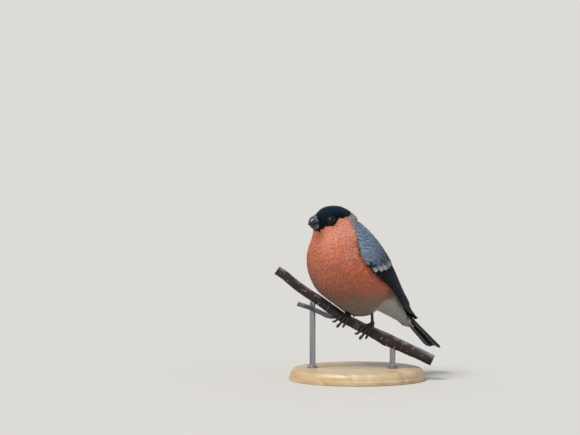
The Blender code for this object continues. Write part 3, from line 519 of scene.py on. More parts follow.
def coatDepth(points):
    rows = np.array(skin["depthFromBill"])
    away = gapTo(points, billRoot)
    depth = np.interp(away, rows[:, 0], rows[:, 1])
    for middle in eyeMiddles.values():
        near = ease(6.0, 3.2, gapTo(points, middle))
        depth = depth * (1 - near) + skin["besideEye"] * near
    return depth


def fleshForm():  # the flesh nodes, swollen until they meet, and the core under the wings
    core = backCore()
    box = bmesh.new()
    for node in skin["nodes"]:
        part = bmesh.new()
        part.from_mesh(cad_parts[node].data)
        bmesh.ops.remove_doubles(part, verts=part.verts, dist=1e-6)
        bmesh.ops.recalc_face_normals(part, faces=part.faces)
        part.normal_update()
        for vert in part.verts:
            vert.co += vert.normal * skin["swell"] * mm
        swollen = bpy.data.meshes.new("swollen")
        part.to_mesh(swollen)
        part.free()
        box.from_mesh(swollen)
        bpy.data.meshes.remove(swollen)
    box.from_mesh(core.data)
    whole = bpy.data.meshes.new("skin")
    box.to_mesh(whole)
    box.free()
    bpy.data.objects.remove(core)
    made = bpy.data.objects.new("skin", whole)
    bpy.context.scene.collection.objects.link(made)
    return made


def fuse(piece):  # one even surface over all the lengths, with their seams smoothed out
    remesh = piece.modifiers.new("one surface", "REMESH")
    remesh.mode = "VOXEL"
    remesh.voxel_size = skin["voxel"] * mm
    soften = piece.modifiers.new("soften", "SMOOTH")
    soften.factor = 0.5
    soften.iterations = skin["smoothing"]
    graph = bpy.context.evaluated_depsgraph_get()
    settled = bpy.data.meshes.new_from_object(piece.evaluated_get(graph))
    piece.modifiers.clear()
    piece.data = settled
    keepLargest(piece)


def easeNape(mesh, places):  # the step down under the mantle's front edge becomes a slope
    ends = np.empty(len(mesh.edges) * 2, np.int32)
    mesh.edges.foreach_get("vertices", ends)
    one, other = ends.reshape(-1, 2).T
    links = np.bincount(ends, minlength=len(places))[:, None]
    s, degrees, depth = vaultMeasures(places)
    weight = np.exp(-(((s - skin["napeAt"]) / skin["napeLong"]) ** 2)) * ease(88.0, 70.0, np.abs(degrees))
    for _ in range(skin["napeSmoothing"]):
        total = np.zeros_like(places)
        np.add.at(total, one, places[other])
        np.add.at(total, other, places[one])
        places += (total / links - places) * (0.5 * weight)[:, None]


def makeSkin():
    made = fleshForm()
    fuse(made)
    count = len(made.data.vertices)
    places = np.empty(count * 3, np.float32)
    normals = np.empty(count * 3, np.float32)
    made.data.vertices.foreach_get("co", places)
    made.data.vertices.foreach_get("normal", normals)
    places = places.reshape(-1, 3).astype(float) / mm - perchPoint
    normals = normals.reshape(-1, 3).astype(float)
    places -= normals * (coatDepth(places) + skin["swell"])[:, None]
    easeNape(made.data, places)
    made.data.vertices.foreach_set("co", ((places + perchPoint) * mm).astype(np.float32).ravel())
    made.data.update()
    made.data.shade_smooth()
    made.data.materials.clear()
    made.data.materials.append(softPlumage)
    # painted shade: the skin is painted a little darker where it shows between the tufts
    paintPiece(made, plumageColour(places) * 0.95)  # a little darker between the tufts
    return made, places


def keepLargest(piece):
    box = bmesh.new()
    box.from_mesh(piece.data)
    box.verts.ensure_lookup_table()
    left = set(box.verts)
    best = set()
    while left:
        group = {left.pop()}
        edge = list(group)
        while edge:
            vert = edge.pop()
            for link in vert.link_edges:
                other = link.other_vert(vert)
                if other in left:
                    left.discard(other)
                    group.add(other)
                    edge.append(other)
        if len(group) > len(best):
            best = group
    bmesh.ops.delete(box, geom=[v for v in box.verts if v not in best], context="VERTS")
    box.to_mesh(piece.data)
    box.free()


skinPiece, skinPoints = makeSkin()
settle(skinPiece, "breast_feather", *skin["nodes"])
skinFaces = [tuple(face.vertices) for face in skinPiece.data.polygons]
skinTree = BVHTree.FromPolygons([Vector(p) for p in skinPoints], skinFaces)
skinNormals = np.empty(len(skinPoints) * 3, np.float32)
skinPiece.data.vertices.foreach_get("normal", skinNormals)
skinNormals = skinNormals.reshape(-1, 3).astype(float)
print("skin made:", len(skinFaces), "faces")


def onSkin(points):  # the nearest places on the skin and the way they face
    places = np.empty_like(points)
    facing = np.empty_like(points)
    for k, point in enumerate(points):
        place, normal, face, gap = skinTree.find_nearest(Vector(point))
        places[k] = place
        facing[k] = skinNormals[list(skinFaces[face])].mean(axis=0)
    return places, unit(facing)


# Coat: soft tufts, each a fan of flat barb locks that bends along the skin.
coat = {
    "seed": 41,
    "fromBill": (0.0, 4.0, 9.0, 16.0, 26.0, 42.0),  # mm from the bill's root
    "spacing": (0.36, 0.44, 0.56, 0.68, 0.80, 0.88),
    "length": (1.2, 1.9, 2.8, 4.0, 5.4, 6.4),
    "width": (0.55, 0.9, 1.3, 1.8, 2.3, 2.7),
    "tipRise": (0.07, 0.10, 0.18, 0.27, 0.38, 0.45),
    "locks": 9,
    "capLocks": 6,
    "ridge": 0.06,
    "tries": 160000,
    "clearOfBill": 2.6,
    "clearOfSocket": 4.232,
    "clearOfEye": (2.95, 2.75),  # of roots and of tips
    "underWing": (-51.0, 4.0),  # s that the folded wings cover
    "underTail": (22.0, 33.0, 0.1),  # s and n where the tail's underside begins, and its rise
    "wander": 0.13,
    "throatFrom": 54.0,  # height
    "ventFrom": 3.0,  # s
    "flankFrom": -12.0,  # y
    "bakePatch": 0.003,  # of the baked map, for each tuft
    "bakeMiddle": (0.0, -4.0, 38.0),
}
stationShares = (0.0, 1 / 3, 2 / 3, 1.0)
tailRoot = slopePoint(34.0, 33.0, 0.0)


def lieOfCoat(points, facing):  # down and back from the bill to the tail, parting round the eyes
    fromBill = points - billRoot
    toTail = tailRoot - points
    flow = unit(fromBill) / (np.linalg.norm(fromBill, axis=1, keepdims=True) + 6.0) ** 1.4
    flow += unit(toTail) / (np.linalg.norm(toTail, axis=1, keepdims=True) + 6.0) ** 1.4
    flow = unit(flow)
    for middle in eyeMiddles.values():
        away = points - middle
        near = ease(6.5, 2.5, np.linalg.norm(away, axis=1))
        away = unit(away)
        against = np.maximum(-(flow * away).sum(axis=1), 0.0)
        flow = unit(flow + away * (against * near * 1.6)[:, None])
    flow -= facing * (flow * facing).sum(axis=1, keepdims=True)
    return unit(flow)


def scatterRoots(draw):  # roots set apart by the coat's own spacing, all over the skin
    mesh = skinPiece.data
    mesh.calc_loop_triangles()
    corners = np.array([t.vertices for t in mesh.loop_triangles])
    a, b, c = (skinPoints[corners[:, k]] for k in range(3))
    areas = np.linalg.norm(np.cross(b - a, c - a), axis=1) / 2
    middles = (a + b + c) / 3
    away = gapTo(middles, billRoot)
    wanted = np.interp(away, coat["fromBill"], coat["spacing"])
    chance = areas / wanted**2
    picked = draw.choice(len(corners), coat["tries"], p=chance / chance.sum())
    one, two = draw.random((2, coat["tries"], 1))
    fold = one + two > 1
    one, two = np.where(fold, 1 - one, one), np.where(fold, 1 - two, two)
    places = a[picked] + (b[picked] - a[picked]) * one + (c[picked] - a[picked]) * two
    away = gapTo(places, billRoot)
    gaps = np.interp(away, coat["fromBill"], coat["spacing"])
    for middle in eyeMiddles.values():
        gaps *= 1 - 0.3 * ease(6.5, 3.8, gapTo(places, middle))
    cell = max(coat["spacing"])
    cells = np.floor(places / cell).astype(int)
    taken = {}
    kept = []
    for k in range(len(places)):
        x, y, z = cells[k]
        clear = True
        for i in (x - 1, x, x + 1):
            for j in (y - 1, y, y + 1):
                for h in (z - 1, z, z + 1):
                    for other in taken.get((i, j, h), ()):
                        away = places[k] - places[other]
                        if away @ away < gaps[k] * gaps[k]:
                            clear = False
                            break
                    if not clear:
                        break
                if not clear:
                    break
            if not clear:
                break
        if clear:
            taken.setdefault((x, y, z), []).append(k)
            kept.append(k)
    return places[kept]


def stationLines(roots, ways, facing, lengths, rises):
    # Four stations along each feather, bent down to the skin and lifted toward the tip.
    stations = [roots - facing * 0.15]
    ups = [facing]
    place = roots
    way = ways
    normal = facing
    for share in stationShares[1:]:
        ahead = place + way * (lengths / 3)[:, None]
        free = ease(29.0, 34.0, ahead @ downBack)[:, None]  # past the rump the tips run on freely
        below, facingBelow = onSkin(ahead)
        place = below * (1 - free) + ahead * free
        normal = unit(facingBelow * (1 - free) + normal * free)
        way = unit(way - normal * (way * normal).sum(axis=1, keepdims=True))
        stations.append(place + normal * (rises * share**0.6)[:, None])
        ups.append(normal)
    return np.stack(stations, axis=1), np.stack(ups, axis=1)


def alongStations(values, t):  # a smooth curve through four stations at shares t
    t = np.asarray(t)[:, None] * 3
    a, b, c, d = (values[:, k] for k in range(4))
    return (
        a * -(t - 1) * (t - 2) * (t - 3) / 6 + b * t * (t - 2) * (t - 3) / 2
        - c * t * (t - 1) * (t - 3) / 2 + d * t * (t - 1) * (t - 2) / 6
    )


def fanLocks(stations, ups, widths, count, ridge, draw, roundness=0.35, spread=0.15):
    # Each lock is a thin closed blade with a ridge. Returns points, faces, and for every point
    # its tuft, its place across the tuft and its place along it.
    total = len(stations)
    ways = unit(np.gradient(stations, axis=1))
    sides = unit(np.cross(ways, ups))
    shares = np.array((0.0, 0.38, 0.80, 1.0))
    fan = np.array((0.25, 0.85, 1.0, 0.95 + spread))
    girth = np.array((0.0, 0.85, 0.60, 0.0))
    height = np.array((0.0, 1.0, 0.8, 0.0))
    points = []
    across = []
    down = []
    for k in range(count):
        q = (2 * k + 1) / count - 1 + draw.normal(0, 0.08, total)
        long = 1 - roundness * np.abs(q) ** 1.8 - draw.uniform(0, 0.18, total)
        sway = draw.normal(0, 0.13, total)
        raised = 0.05 * (k % 2) * min(ridge / 0.09, 1.0)
        ring = []
        for share, opened, thick, rise in zip(shares, fan, girth, height):
            t = share * long
            middle = alongStations(stations, t)
            side = unit(alongStations(sides, t))
            up = unit(alongStations(ups, t))
            offset = (widths / 2 * (q * opened + sway * share**2))[:, None]
            sink = (0.10 * widths * q**2)[:, None]
            half = (widths / count * thick)[:, None]
            low = middle + side * offset - up * (sink - raised)
            if thick:
                ring += [low - side * half, low + side * half, low + up * ridge * rise]
            else:
                ring.append(low)
        points.append(np.stack(ring, axis=1))
        across.append(np.repeat(q[:, None], 8, axis=1))
        down.append(np.repeat([shares], total, axis=0).repeat((1, 3, 3, 1), axis=1) * long[:, None])
    points = np.stack(points, axis=1)
    across = np.stack(across, axis=1)
    down = np.stack(down, axis=1)
    starts = np.arange(total * count)[:, None] * 8
    quads = []
    triangles = []
    for a, b in ((0, 1), (1, 2), (2, 0)):
        triangles.append(starts + np.array((0, 1 + a, 1 + b)))
        quads.append(starts + np.array((1 + a, 4 + a, 4 + b, 1 + b)))
        triangles.append(starts + np.array((4 + a, 7, 4 + b)))
    tuft = np.repeat(np.arange(total), count * 8)
    faceSets = [np.concatenate(quads), np.concatenate(triangles)]
    return points.reshape(-1, 3), faceSets, tuft, across.ravel(), down.ravel()


def bakePlace(roots):  # each root's place on the body, opened out round the middle of the breast
    away = unit(roots - np.array(coat["bakeMiddle"]))
    around = np.arctan2(away[:, 0], -away[:, 1]) / (2 * math.pi) + 0.5
    high = np.arcsin(np.clip(away[:, 2], -1, 1)) / math.pi + 0.5
    return np.stack([around, high], axis=1)


def tuftPiece(
    name, stations, ups, widths, colours, material, slot, locks, ridge, draw, nodes=(), **shape
):
    points, faceSets, tuft, across, down = fanLocks(stations, ups, widths, locks, ridge, draw, **shape)
    made = makePiece(name, points, faceSets, material)
    lockTone = np.repeat(draw.normal(1.0, 0.04, len(points) // 8), 8)
    tone = lockTone * (0.92 + 0.12 * ease(0.0, 0.8, down))
    paintPiece(made, np.clip(colours[tuft] * tone[:, None], 0, 1))
    inPatch = np.stack([across / 2, down - 0.5], axis=1) * coat["bakePatch"]
    mapPiece(made, "OFBake", bakePlace(stations[:, 0])[tuft] + inPatch)
    settle(made, slot, *nodes)
    return made


def flightOuterEdge(s):  # where the folded wing's outer edge lies, in degrees from the ridge
    places = (-52, -50, -46, -38, -30, -20, -8, 2, 10, 16)
    return np.interp(s, places, (60, 82, 90, 93, 94, 92, 91, 93, 99, 104))


def coatRoots(draw):  # roots on the skin, apart from where wings, bill, eyes and tail cover it
    roots, facing = onSkin(scatterRoots(draw))
    s, degrees, depth = vaultMeasures(roots)
    forward, left, height = headMeasures(roots)
    billForward, billLeft, billHeight = head["billRoot"]
    wingFrom, wingTo = coat["underWing"]
    tailFrom, tailLow, tailRise = coat["underTail"]
    covered = (np.abs(degrees) < flightOuterEdge(s) - 5) & (s > wingFrom) & (s < wingTo)
    covered |= gapTo(roots, billRoot) < coat["clearOfBill"]
    beside = np.hypot(left, height - billHeight - 0.1)
    covered |= (forward > billForward - 0.1) & (beside < coat["clearOfSocket"])
    for middle in eyeMiddles.values():
        covered |= gapTo(roots, middle) < coat["clearOfEye"][0]
    covered |= (s > tailFrom) & (roots @ outOfBack > tailLow + (s - tailFrom) * tailRise)
    return roots[~covered], facing[~covered]


def makeCoat():
    draw = np.random.default_rng(coat["seed"])
    roots, facing = coatRoots(draw)
    ways = lieOfCoat(roots, facing)
    away = gapTo(roots, billRoot)
    size = draw.normal(1.0, 0.08, len(roots))
    lengths = np.interp(away, coat["fromBill"], coat["length"]) * size
    widths = np.interp(away, coat["fromBill"], coat["width"]) * size
    rises = np.interp(away, coat["fromBill"], coat["tipRise"]) * draw.uniform(0.7, 1.25, len(roots))
    for middle in eyeMiddles.values():  # short and close round the eyes
        near = ease(7.0, 3.4, gapTo(roots, middle))
        lengths *= 1 - 0.45 * near
        widths *= 1 - 0.35 * near
        rises *= 1 - 0.4 * near
    black = capShare(roots)
    lengths *= 1 - 0.3 * black
    rises *= 1 - 0.45 * black
    side = np.cross(facing, ways)
    ways = unit(ways + side * draw.normal(0, coat["wander"], len(roots))[:, None])
    stations, ups = stationLines(roots, ways, facing, lengths, rises)
    clear = np.ones(len(roots), bool)
    for middle in eyeMiddles.values():
        clear &= gapTo(stations[:, 3], middle) >= coat["clearOfEye"][1]
    colours = plumageColour(roots + ways * (lengths * 0.6)[:, None])
    colours *= draw.normal(1.0, 0.035, len(roots))[:, None]
    colours *= 1 + 0.02 * draw.normal(size=(len(roots), 3))
    isCap = black > 0.5
    upper = roots[:, 2] > coat["throatFrom"]
    behind = roots @ downBack > coat["ventFrom"]
    front = roots[:, 1] < coat["flankFrom"]
    body = ~isCap & ~upper & ~behind
    groups = [
        ("cap_feathers", isCap, capPlumage, "cap_feather"),
        ("throat_and_nape_feathers", ~isCap & upper, softPlumage, "breast_feather"),
    ]
    for region, inRegion in (("breast", body & front), ("flank", body & ~front)):
        for side, onSide in (("left", roots[:, 0] > 0), ("right", roots[:, 0] <= 0)):
            groups.append((f"{region}_feathers_{side}", inRegion & onSide, softPlumage, "breast_feather"))
    groups.append(("vent_feathers", ~isCap & behind, softPlumage, "white_feather"))
    for name, chosen, material, slot in groups:
        chosen = chosen & clear
        dense = name == "cap_feathers"
        made = tuftPiece(
            name, stations[chosen], ups[chosen], widths[chosen], colours[chosen], material, slot,
            coat["capLocks"] if dense else coat["locks"], coat["ridge"] * (0.5 if dense else 1.0), draw,
        )
        print(name, int(chosen.sum()), "tufts,", len(made.data.polygons), "faces")


makeCoat()
print("body coat made")


# Wings, mantle and tail: firm vanes laid on the vault, each partly under the one before it.
wing = {
    "flightEdges": (  # s, inner and outer edge in degrees from the ridge
        (-24.0, 22.4, 94.0), (-15.0, 16.0, 92.5), (-8.0, 9.4, 92.0), (2.0, 4.4, 94.0),
        (10.0, 4.4, 100.0), (16.0, 8.0, 105.0), (24.0, 20.0, 98.0), (32.5, 40.0, 72.0),
    ),
    "shoulderEdges": (
        (-50.0, 46.0, 84.0), (-46.0, 36.0, 91.0), (-38.0, 30.0, 94.0), (-30.0, 26.0, 95.0),
        (-20.0, 20.6, 93.5), (-12.0, 14.0, 92.0),
    ),
    "mantleEdges": (
        (-52.4, 60.0), (-50.0, 44.0), (-46.0, 34.0), (-38.0, 28.0), (-28.0, 23.0), (-20.0, 18.0),
        (-12.0, 11.0), (-6.0, 6.4), (0.0, 2.6),
    ),
    "flight": (  # visible width, s of the tip: three tertials, five secondaries, six primaries
        (4.5, 1.5), (4.5, 9.0), (3.5, 16.0), (2.6, 17.4), (2.6, 18.0), (2.6, 18.6), (2.6, 19.2),
        (2.6, 19.8), (1.5, 21.4), (1.5, 23.4), (1.5, 25.6), (1.5, 27.9), (1.5, 30.2), (1.5, 32.5),
    ),
    "flightRoot": -26.0,
    "flightReach": 1.9,
    "flightStep": 0.30,
    "flightWide": (5.0,) * 8 + (9.0,) * 6,  # mm, with what lies under its inner neighbours
    "flightQuill": 0.74,
    "seed": 77,
    "softInner": ((-53, -46, -30), (44, 32, 20)),
    "softOuter": ((-53, -50, -46, -41, -38, -35, -31, -27), (66, 80, 91, 93, 90, 85, 79, 62)),
    # Coverts: tips, root, their part of the shoulder's width, how many strips each reaches
    # under its neighbours, how much deeper each lies, depth at root and tip, thickness.
    "primaryCoverts": ((-17.0, -16.5, -16.0, -15.5, -15.0), -33.0, (0.72, 1.0), 1.5, 0.2, (0.9, 0.45), 0.24),
    "greaterCoverts": (
        (-18.0, -18.4, -18.8, -19.4, -20.4, -21.6, -23.4, -25.8, -28.6), -39.0, (0.0, 0.99), 1.5, 0.22,
        (0.75, 0.12), 0.24,
    ),
    "bendCoverts": ((-31.6, -32.2, -33.0), -44.0, (0.86, 1.01), 1.6, 0.16, (1.5, 0.1), 0.22),
    "mantleRoots": (-56.0, -6.0, 1.7),  # s from, s to and spacing
    "mantleLong": ((-56, -40, -6), (6.5, 8.5, 9.0)),
    "mantleWide": ((-56, -40, -6), (3.0, 3.8, 3.6)),
    "shoulderRoots": (-53.0, -27.0, 1.5),
    "shoulderLong": ((-53, -40, -27), (4.4, 6.0, 8.4)),
    "shoulderWide": ((-53, -40, -27), (2.4, 3.2, 3.8)),
    "plumeRoots": (-10.0, 16.0, 1.1),
    "barShares": (0.25, 0.3, 0.35, 0.45, 0.75, 0.5, 1.0, 1.0, 0.9),
    "black": "07070b",
    "blackEdge": "131722",
    "brownTip": "423c42",
    "grey": "52627e",
    "paleGrey": "7f94ad",
    "bar": "a3a9ac",
    "darkCovert": "0b0c12",
    "aboveBar": "2c3444",
    "rumpFleck": "c9cac2",
    "rumpWhite": "d6d5cd",
    "softDepths": (1.7, 1.0, 0.55, 0.35),
    "plumeDepths": (2.4, 1.2, 0.5, 0.2),
    "plumeLong": 7.5,
    "plumeWide": 3.2,
}
flightRows = smoothRows(wing["flightEdges"], 4)
shoulderRows = smoothRows(wing["shoulderEdges"], 4)
mantleRows = smoothRows(wing["mantleEdges"], 4)


def firmVane(
    surface, edgesAt, root, tip, lift, slant, thick, draw, rows=26, tipFrom=0.8, splits=2, quill=0.58
):
    # A closed vane with a raised quill. edgesAt(s) gives its inner and outer edge, and slant how
    # much deeper its inner edge lies. Returns points, faces, its own map and shares along, across.
    t = 1 - (1 - np.linspace(0, 1, rows)) ** 1.35
    s = root + (tip - root) * t
    inner, outer = (np.asarray(edge) + 0 * s for edge in edgesAt(s))
    pull = np.sqrt(np.clip(1 - (np.clip((t - tipFrom) / (1 - tipFrom), 0, 1) * 0.985) ** 2, 0, 1))
    pull *= 1 - 0.3 * np.clip(1 - t / 0.3, 0, 1) ** 2
    line = inner + (outer - inner) * quill
    innerEdge = line + (inner - line) * pull
    outerEdge = line + (outer - line) * pull
    for _ in range(splits):
        row = int(draw.integers(rows // 3, rows - 3))
        if draw.random() < 0.5:
            outerEdge[row] += (line[row] - outerEdge[row]) * draw.uniform(0.12, 0.3)
        else:
            innerEdge[row] += (line[row] - innerEdge[row]) * draw.uniform(0.12, 0.3)
    ragged = draw.normal(0, 0.012, (2, rows)) * (outer - inner)
    innerEdge, outerEdge = innerEdge + ragged[0], outerEdge + ragged[1]
    u = np.concatenate([
        np.linspace(0.0, quill - 0.07, 6), (quill - 0.035, quill, quill + 0.035),
        np.linspace(quill + 0.07, 1.0, 4),
    ])
    place = np.where(
        u < quill, innerEdge[:, None] + (line - innerEdge)[:, None] * (u / quill),
        line[:, None] + (outerEdge - line)[:, None] * ((u - quill) / (1 - quill)),
    )
    bow = 0.25 * (u - quill) ** 2 * 4 * thick
    rachis = 0.17 * np.exp(-(((u - quill) / 0.035) ** 2)) * (1 - 0.6 * t[:, None])
    depth = lift[0] + (lift[1] - lift[0]) * t[:, None] + slant * (1 - u) + bow - rachis
    body = thick * (0.35 + 0.65 * np.sqrt(np.clip(1 - (2 * u - 1) ** 2, 0, 1))) * (1 - 0.4 * t[:, None])
    top = surface(s[:, None], place, depth)
    under = surface(s[:, None], place, depth + body + rachis)
    points = np.concatenate([top.reshape(-1, 3), under.reshape(-1, 3)])
    columns = len(u)
    grid = gridFaces(rows, columns)
    half = rows * columns
    faces = [grid, grid[:, ::-1] + half]
    left = np.arange(rows - 1) * columns
    right = left + columns - 1
    faces.append(np.stack([left, left + columns, left + columns + half, left + half], axis=1))
    faces.append(np.stack([right, right + half, right + columns + half, right + columns], axis=1))
    first = np.arange(columns - 1)
    last = first + (rows - 1) * columns
    faces.append(np.stack([first, first + half, first + 1 + half, first + 1], axis=1))
    faces.append(np.stack([last, last + 1, last + 1 + half, last + half], axis=1))
    middle = top[:, np.argmin(np.abs(u - quill))]
    length = np.concatenate([[0], np.cumsum(np.linalg.norm(np.diff(middle, axis=0), axis=1))])
    offset = np.linalg.norm(top - middle[:, None], axis=2) * np.sign(u - quill)
    vane = np.stack([offset, np.repeat(length[:, None], columns, axis=1)], axis=-1).reshape(-1, 2)
    shares = np.stack(np.broadcast_arrays(u[None, :], t[:, None]), axis=-1).reshape(-1, 2)
    return {
        "points": points, "faces": np.concatenate(faces), "vane": np.tile(vane, (2, 1)),
        "shares": np.tile(shares, (2, 1)), "long": length[-1],
    }


def vanePiece(name, vanes, material, slot, nodes=()):
    points = np.concatenate([v["points"] for v in vanes])
    starts = np.cumsum([0] + [len(v["points"]) for v in vanes[:-1]])
    faces = np.concatenate([v["faces"] + start for v, start in zip(vanes, starts)])
    made = makePiece(name, points, [faces], material)
    fixNormals(made)
    paintPiece(made, np.clip(np.concatenate([v["colour"] for v in vanes]), 0, 1))
    mapPiece(made, "vane", np.concatenate([v["vane"] for v in vanes]))
    across = math.ceil(math.sqrt(len(vanes)))  # each vane has a cell of its own
    places = []
    for k, v in enumerate(vanes):
        cell = np.array((k % across, k // across))
        places.append((cell + 0.06 + v["shares"] * 0.88) / across)
    mapPiece(made, "OFBake", np.concatenate(places))
    settle(made, slot, *nodes)
    print(name, len(vanes), "vanes,", len(made.data.polygons), "faces")
    return made


def degreesAcross(s):  # how many degrees of the vault make one mm across it
    middle, rise, width = rowAt(vaultRows, s)
    return np.degrees(2 / (rise + width))


def tierVanes(
    surface, strips, tips, root, across, reach, step, lift, thick, draw, colourOf, wide=(), **shape
):
    # Vanes side by side, from the inner edge of the tier to the outer one. Each shows a strip
    # and runs on under its inner neighbours, reach strips or the wide mm given for it.
    ends = np.concatenate([[0.0], np.cumsum(strips)]) / np.sum(strips)
    vanes = []
    for k, tip in enumerate(tips, 1):

        def edgesAt(s, k=k):
            inner, outer = across(s)
            low, high = np.interp((k - reach, k), np.arange(len(ends)), ends)
            innerEdge = inner + (outer - inner) * low
            outerEdge = inner + (outer - inner) * high
            if wide:
                widest = outerEdge - wide[k - 1] * degreesAcross(s)
                innerEdge = np.minimum(innerEdge, np.maximum(widest, inner))
            return innerEdge, outerEdge

        sample = np.linspace((root + tip) / 2, tip, 5)
        inner, outer = across(sample)
        innerEdge, outerEdge = edgesAt(sample)
        covered = np.interp(np.mean((innerEdge - inner) / (outer - inner)), ends, np.arange(len(ends)))
        deep = (lift[0], lift[1] + draw.uniform(-0.04, 0.04))
        vane = firmVane(
            surface, edgesAt, root + draw.uniform(-0.3, 0.3), tip + draw.uniform(-0.25, 0.1), deep,
            step * max(k - covered, 0.6), thick, draw, **shape,
        )
        vane["colour"] = colourOf(k, vane)
        vanes.append(vane)
    return vanes


def flipped(vanes):
    return [{**v, "points": v["points"] * mirror, "faces": v["faces"][:, ::-1]} for v in vanes]


def flightColour(k, vane):
    u, t = vane["shares"].T
    tone = blend(linear(wing["black"]), linear(wing["blackEdge"]), ease(0.85, 1.0, u) * 0.7)
    if k > 8:
        worn = ease(0.5, 0.95, t) * (0.3 + 0.7 * ease(0.6, 1.0, u))
        tone = blend(tone, linear(wing["brownTip"]), worn)
    quill = np.exp(-(((u - wing["flightQuill"]) / 0.03) ** 2)) * 0.6
    return tone * (1 + quill[:, None])


def covertEdges(start, end):
    def across(s):
        inner, outer = rowAt(shoulderRows, s)
        return inner + (outer - inner) * start, inner + (outer - inner) * end
    return across


def greaterColour(barShares):  # how pale the bar is on each feather, from the back outward
    def colourOf(k, vane):
        u, t = vane["shares"].T
        fromTip = (1 - t) * vane["long"]
        tone = blend(linear(wing["darkCovert"]), linear(wing["grey"]), ease(0.3, 1.0, u) * 0.5)
        pale = ease(7.0, 2.4, fromTip + 2.4 * np.abs(u - 0.6)) * barShares[k - 1]
        return blend(tone, linear(wing["bar"]), pale)
    return colourOf


def plainColour(code, edgeCode, edgeShare=0.7):
    def colourOf(k, vane):
        u, t = vane["shares"].T
        rim = np.maximum(ease(0.7, 1.0, t), ease(0.75, 1.0, np.abs(u - 0.58) / 0.45))
        return blend(linear(code), linear(edgeCode), rim * edgeShare)
    return colourOf


def wingVanes(draw):
    strips, tips = zip(*wing["flight"])
    flight = tierVanes(
        vaultPoint, strips, tips, wing["flightRoot"], lambda s: rowAt(flightRows, s), wing["flightReach"],
        wing["flightStep"], (1.0, 0.3), 0.26, draw, flightColour, wide=wing["flightWide"], rows=44,
        tipFrom=0.88, splits=4, quill=wing["flightQuill"],
    )
    darkWeb = plainColour(wing["darkCovert"], wing["blackEdge"])
    coverts = []
    for tier, colourOf, tipFrom in (
        ("primaryCoverts", darkWeb, 0.8),
        ("greaterCoverts", greaterColour(wing["barShares"]), 0.93),  # their pale tips make the bar
        ("bendCoverts", darkWeb, 0.8),
    ):
        tips, root, span, reach, step, lift, thick = wing[tier]
        coverts += tierVanes(
            vaultPoint, [1.0] * len(tips), tips, root, covertEdges(*span), reach, step, lift, thick, draw,
            colourOf, tipFrom=tipFrom,
        )
    return flight, coverts


def vaultStations(spots, long, fanned, drift, depths):
    # Four stations for each loose feather on the vault. fanned widens its place toward the tip.
    stations = []
    ups = []
    for share, depth in zip(stationShares, depths):
        s = spots[:, 0] + long * share
        degrees = spots[:, 1] * (1 + fanned * share) + drift * share
        stations.append(vaultPoint(s, degrees, depth))
        ups.append(unit(vaultPoint(s, degrees, -1.0) - vaultPoint(s, degrees, 1.0)))
    return np.stack(stations, axis=1), np.stack(ups, axis=1)


def softVaultFeathers(draw, spots, name, length, width, locks, nodes=()):
    # Loose feathers on the vault, from (s, degrees) of their roots.
    spots = np.array(spots)
    total = len(spots)
    size = draw.normal(1.0, 0.07, total)
    long = np.interp(spots[:, 0], *length) * size
    wide = np.interp(spots[:, 0], *width) * size
    drift = draw.normal(0, 1.6, total)
    depths = [depth + draw.uniform(-0.12, 0.12, total) for depth in wing["softDepths"]]
    stations, ups = vaultStations(spots, long, 0.0, drift, depths)
    return tuftPiece(
        name, stations, ups, wide, backColour(spots, draw), softPlumage, "mantle_feather", locks, 0.10,
        draw, nodes, roundness=0.45, spread=0.0,
    )


def backColour(spots, draw):
    s, degrees = spots.T
    fromRidge = np.abs(degrees)
    tone = blend(linear(wing["grey"]), linear(wing["paleGrey"]), ease(-30, -48, s))
    tone = blend(tone, linear(wing["aboveBar"]), 0.6 * ease(-30, -24, s) * ease(45, 60, fromRidge))
    fleck = draw.random(len(s)) * ease(-12, -6, s) * ease(20, 10, fromRidge)
    tone = blend(tone, linear(wing["rumpFleck"]), fleck)
    return tone * draw.normal(1.0, 0.10, len(s))[:, None]


def staggered(draw, sFrom, sTo, spacing, degreesOf):  # rows of roots, each row between the last
    spots = []
    odd = 0
    s = sFrom
    while s < sTo:
        middle, rise, width = (float(v) for v in rowAt(vaultRows, s))
        low, high = degreesOf(s)
        step = math.degrees(spacing / ((rise + width) / 2))
        count = max(int((high - low) / step), 1)
        for k in range(count + 1):
            place = low + (high - low) * (k + 0.5 * odd) / count
            if place <= high + 0.1:
                spots.append((s + draw.uniform(-0.35, 0.35), place + draw.uniform(-0.12, 0.12) * step))
        odd = 1 - odd
        s += spacing
    return spots


def mantleSpan(s):
    edge = float(rowAt(mantleRows, s)[0]) + 5
    return -edge, edge


def shoulderSpan(s):
    return [float(np.interp(s, *rows)) for rows in (wing["softInner"], wing["softOuter"])]


def makeBack():
    draw = np.random.default_rng(wing["seed"])
    for side in ("left", "right"):
        flight, coverts = wingVanes(draw)
        if side == "right":
            flight, coverts = flipped(flight), flipped(coverts)
        vanePiece(f"flight_feathers_{side}", flight, flightPlumage, "flight_feather", (f"wing_{side}",))
        vanePiece(f"wing_coverts_{side}", coverts, covertPlumage, "flight_feather")
    spots = staggered(draw, *wing["mantleRoots"], mantleSpan)
    softVaultFeathers(
        draw, spots, "mantle_feathers", wing["mantleLong"], wing["mantleWide"], 10, ("mantle",)
    )
    for side, hand in (("left", 1), ("right", -1)):
        # Scapulars and small coverts from the shoulder back over the roots of the great coverts.
        spots = staggered(draw, *wing["shoulderRoots"], shoulderSpan)
        spots = [(s, hand * degrees) for s, degrees in spots]
        softVaultFeathers(
            draw, spots, f"shoulder_feathers_{side}", wing["shoulderLong"], wing["shoulderWide"], 9
        )


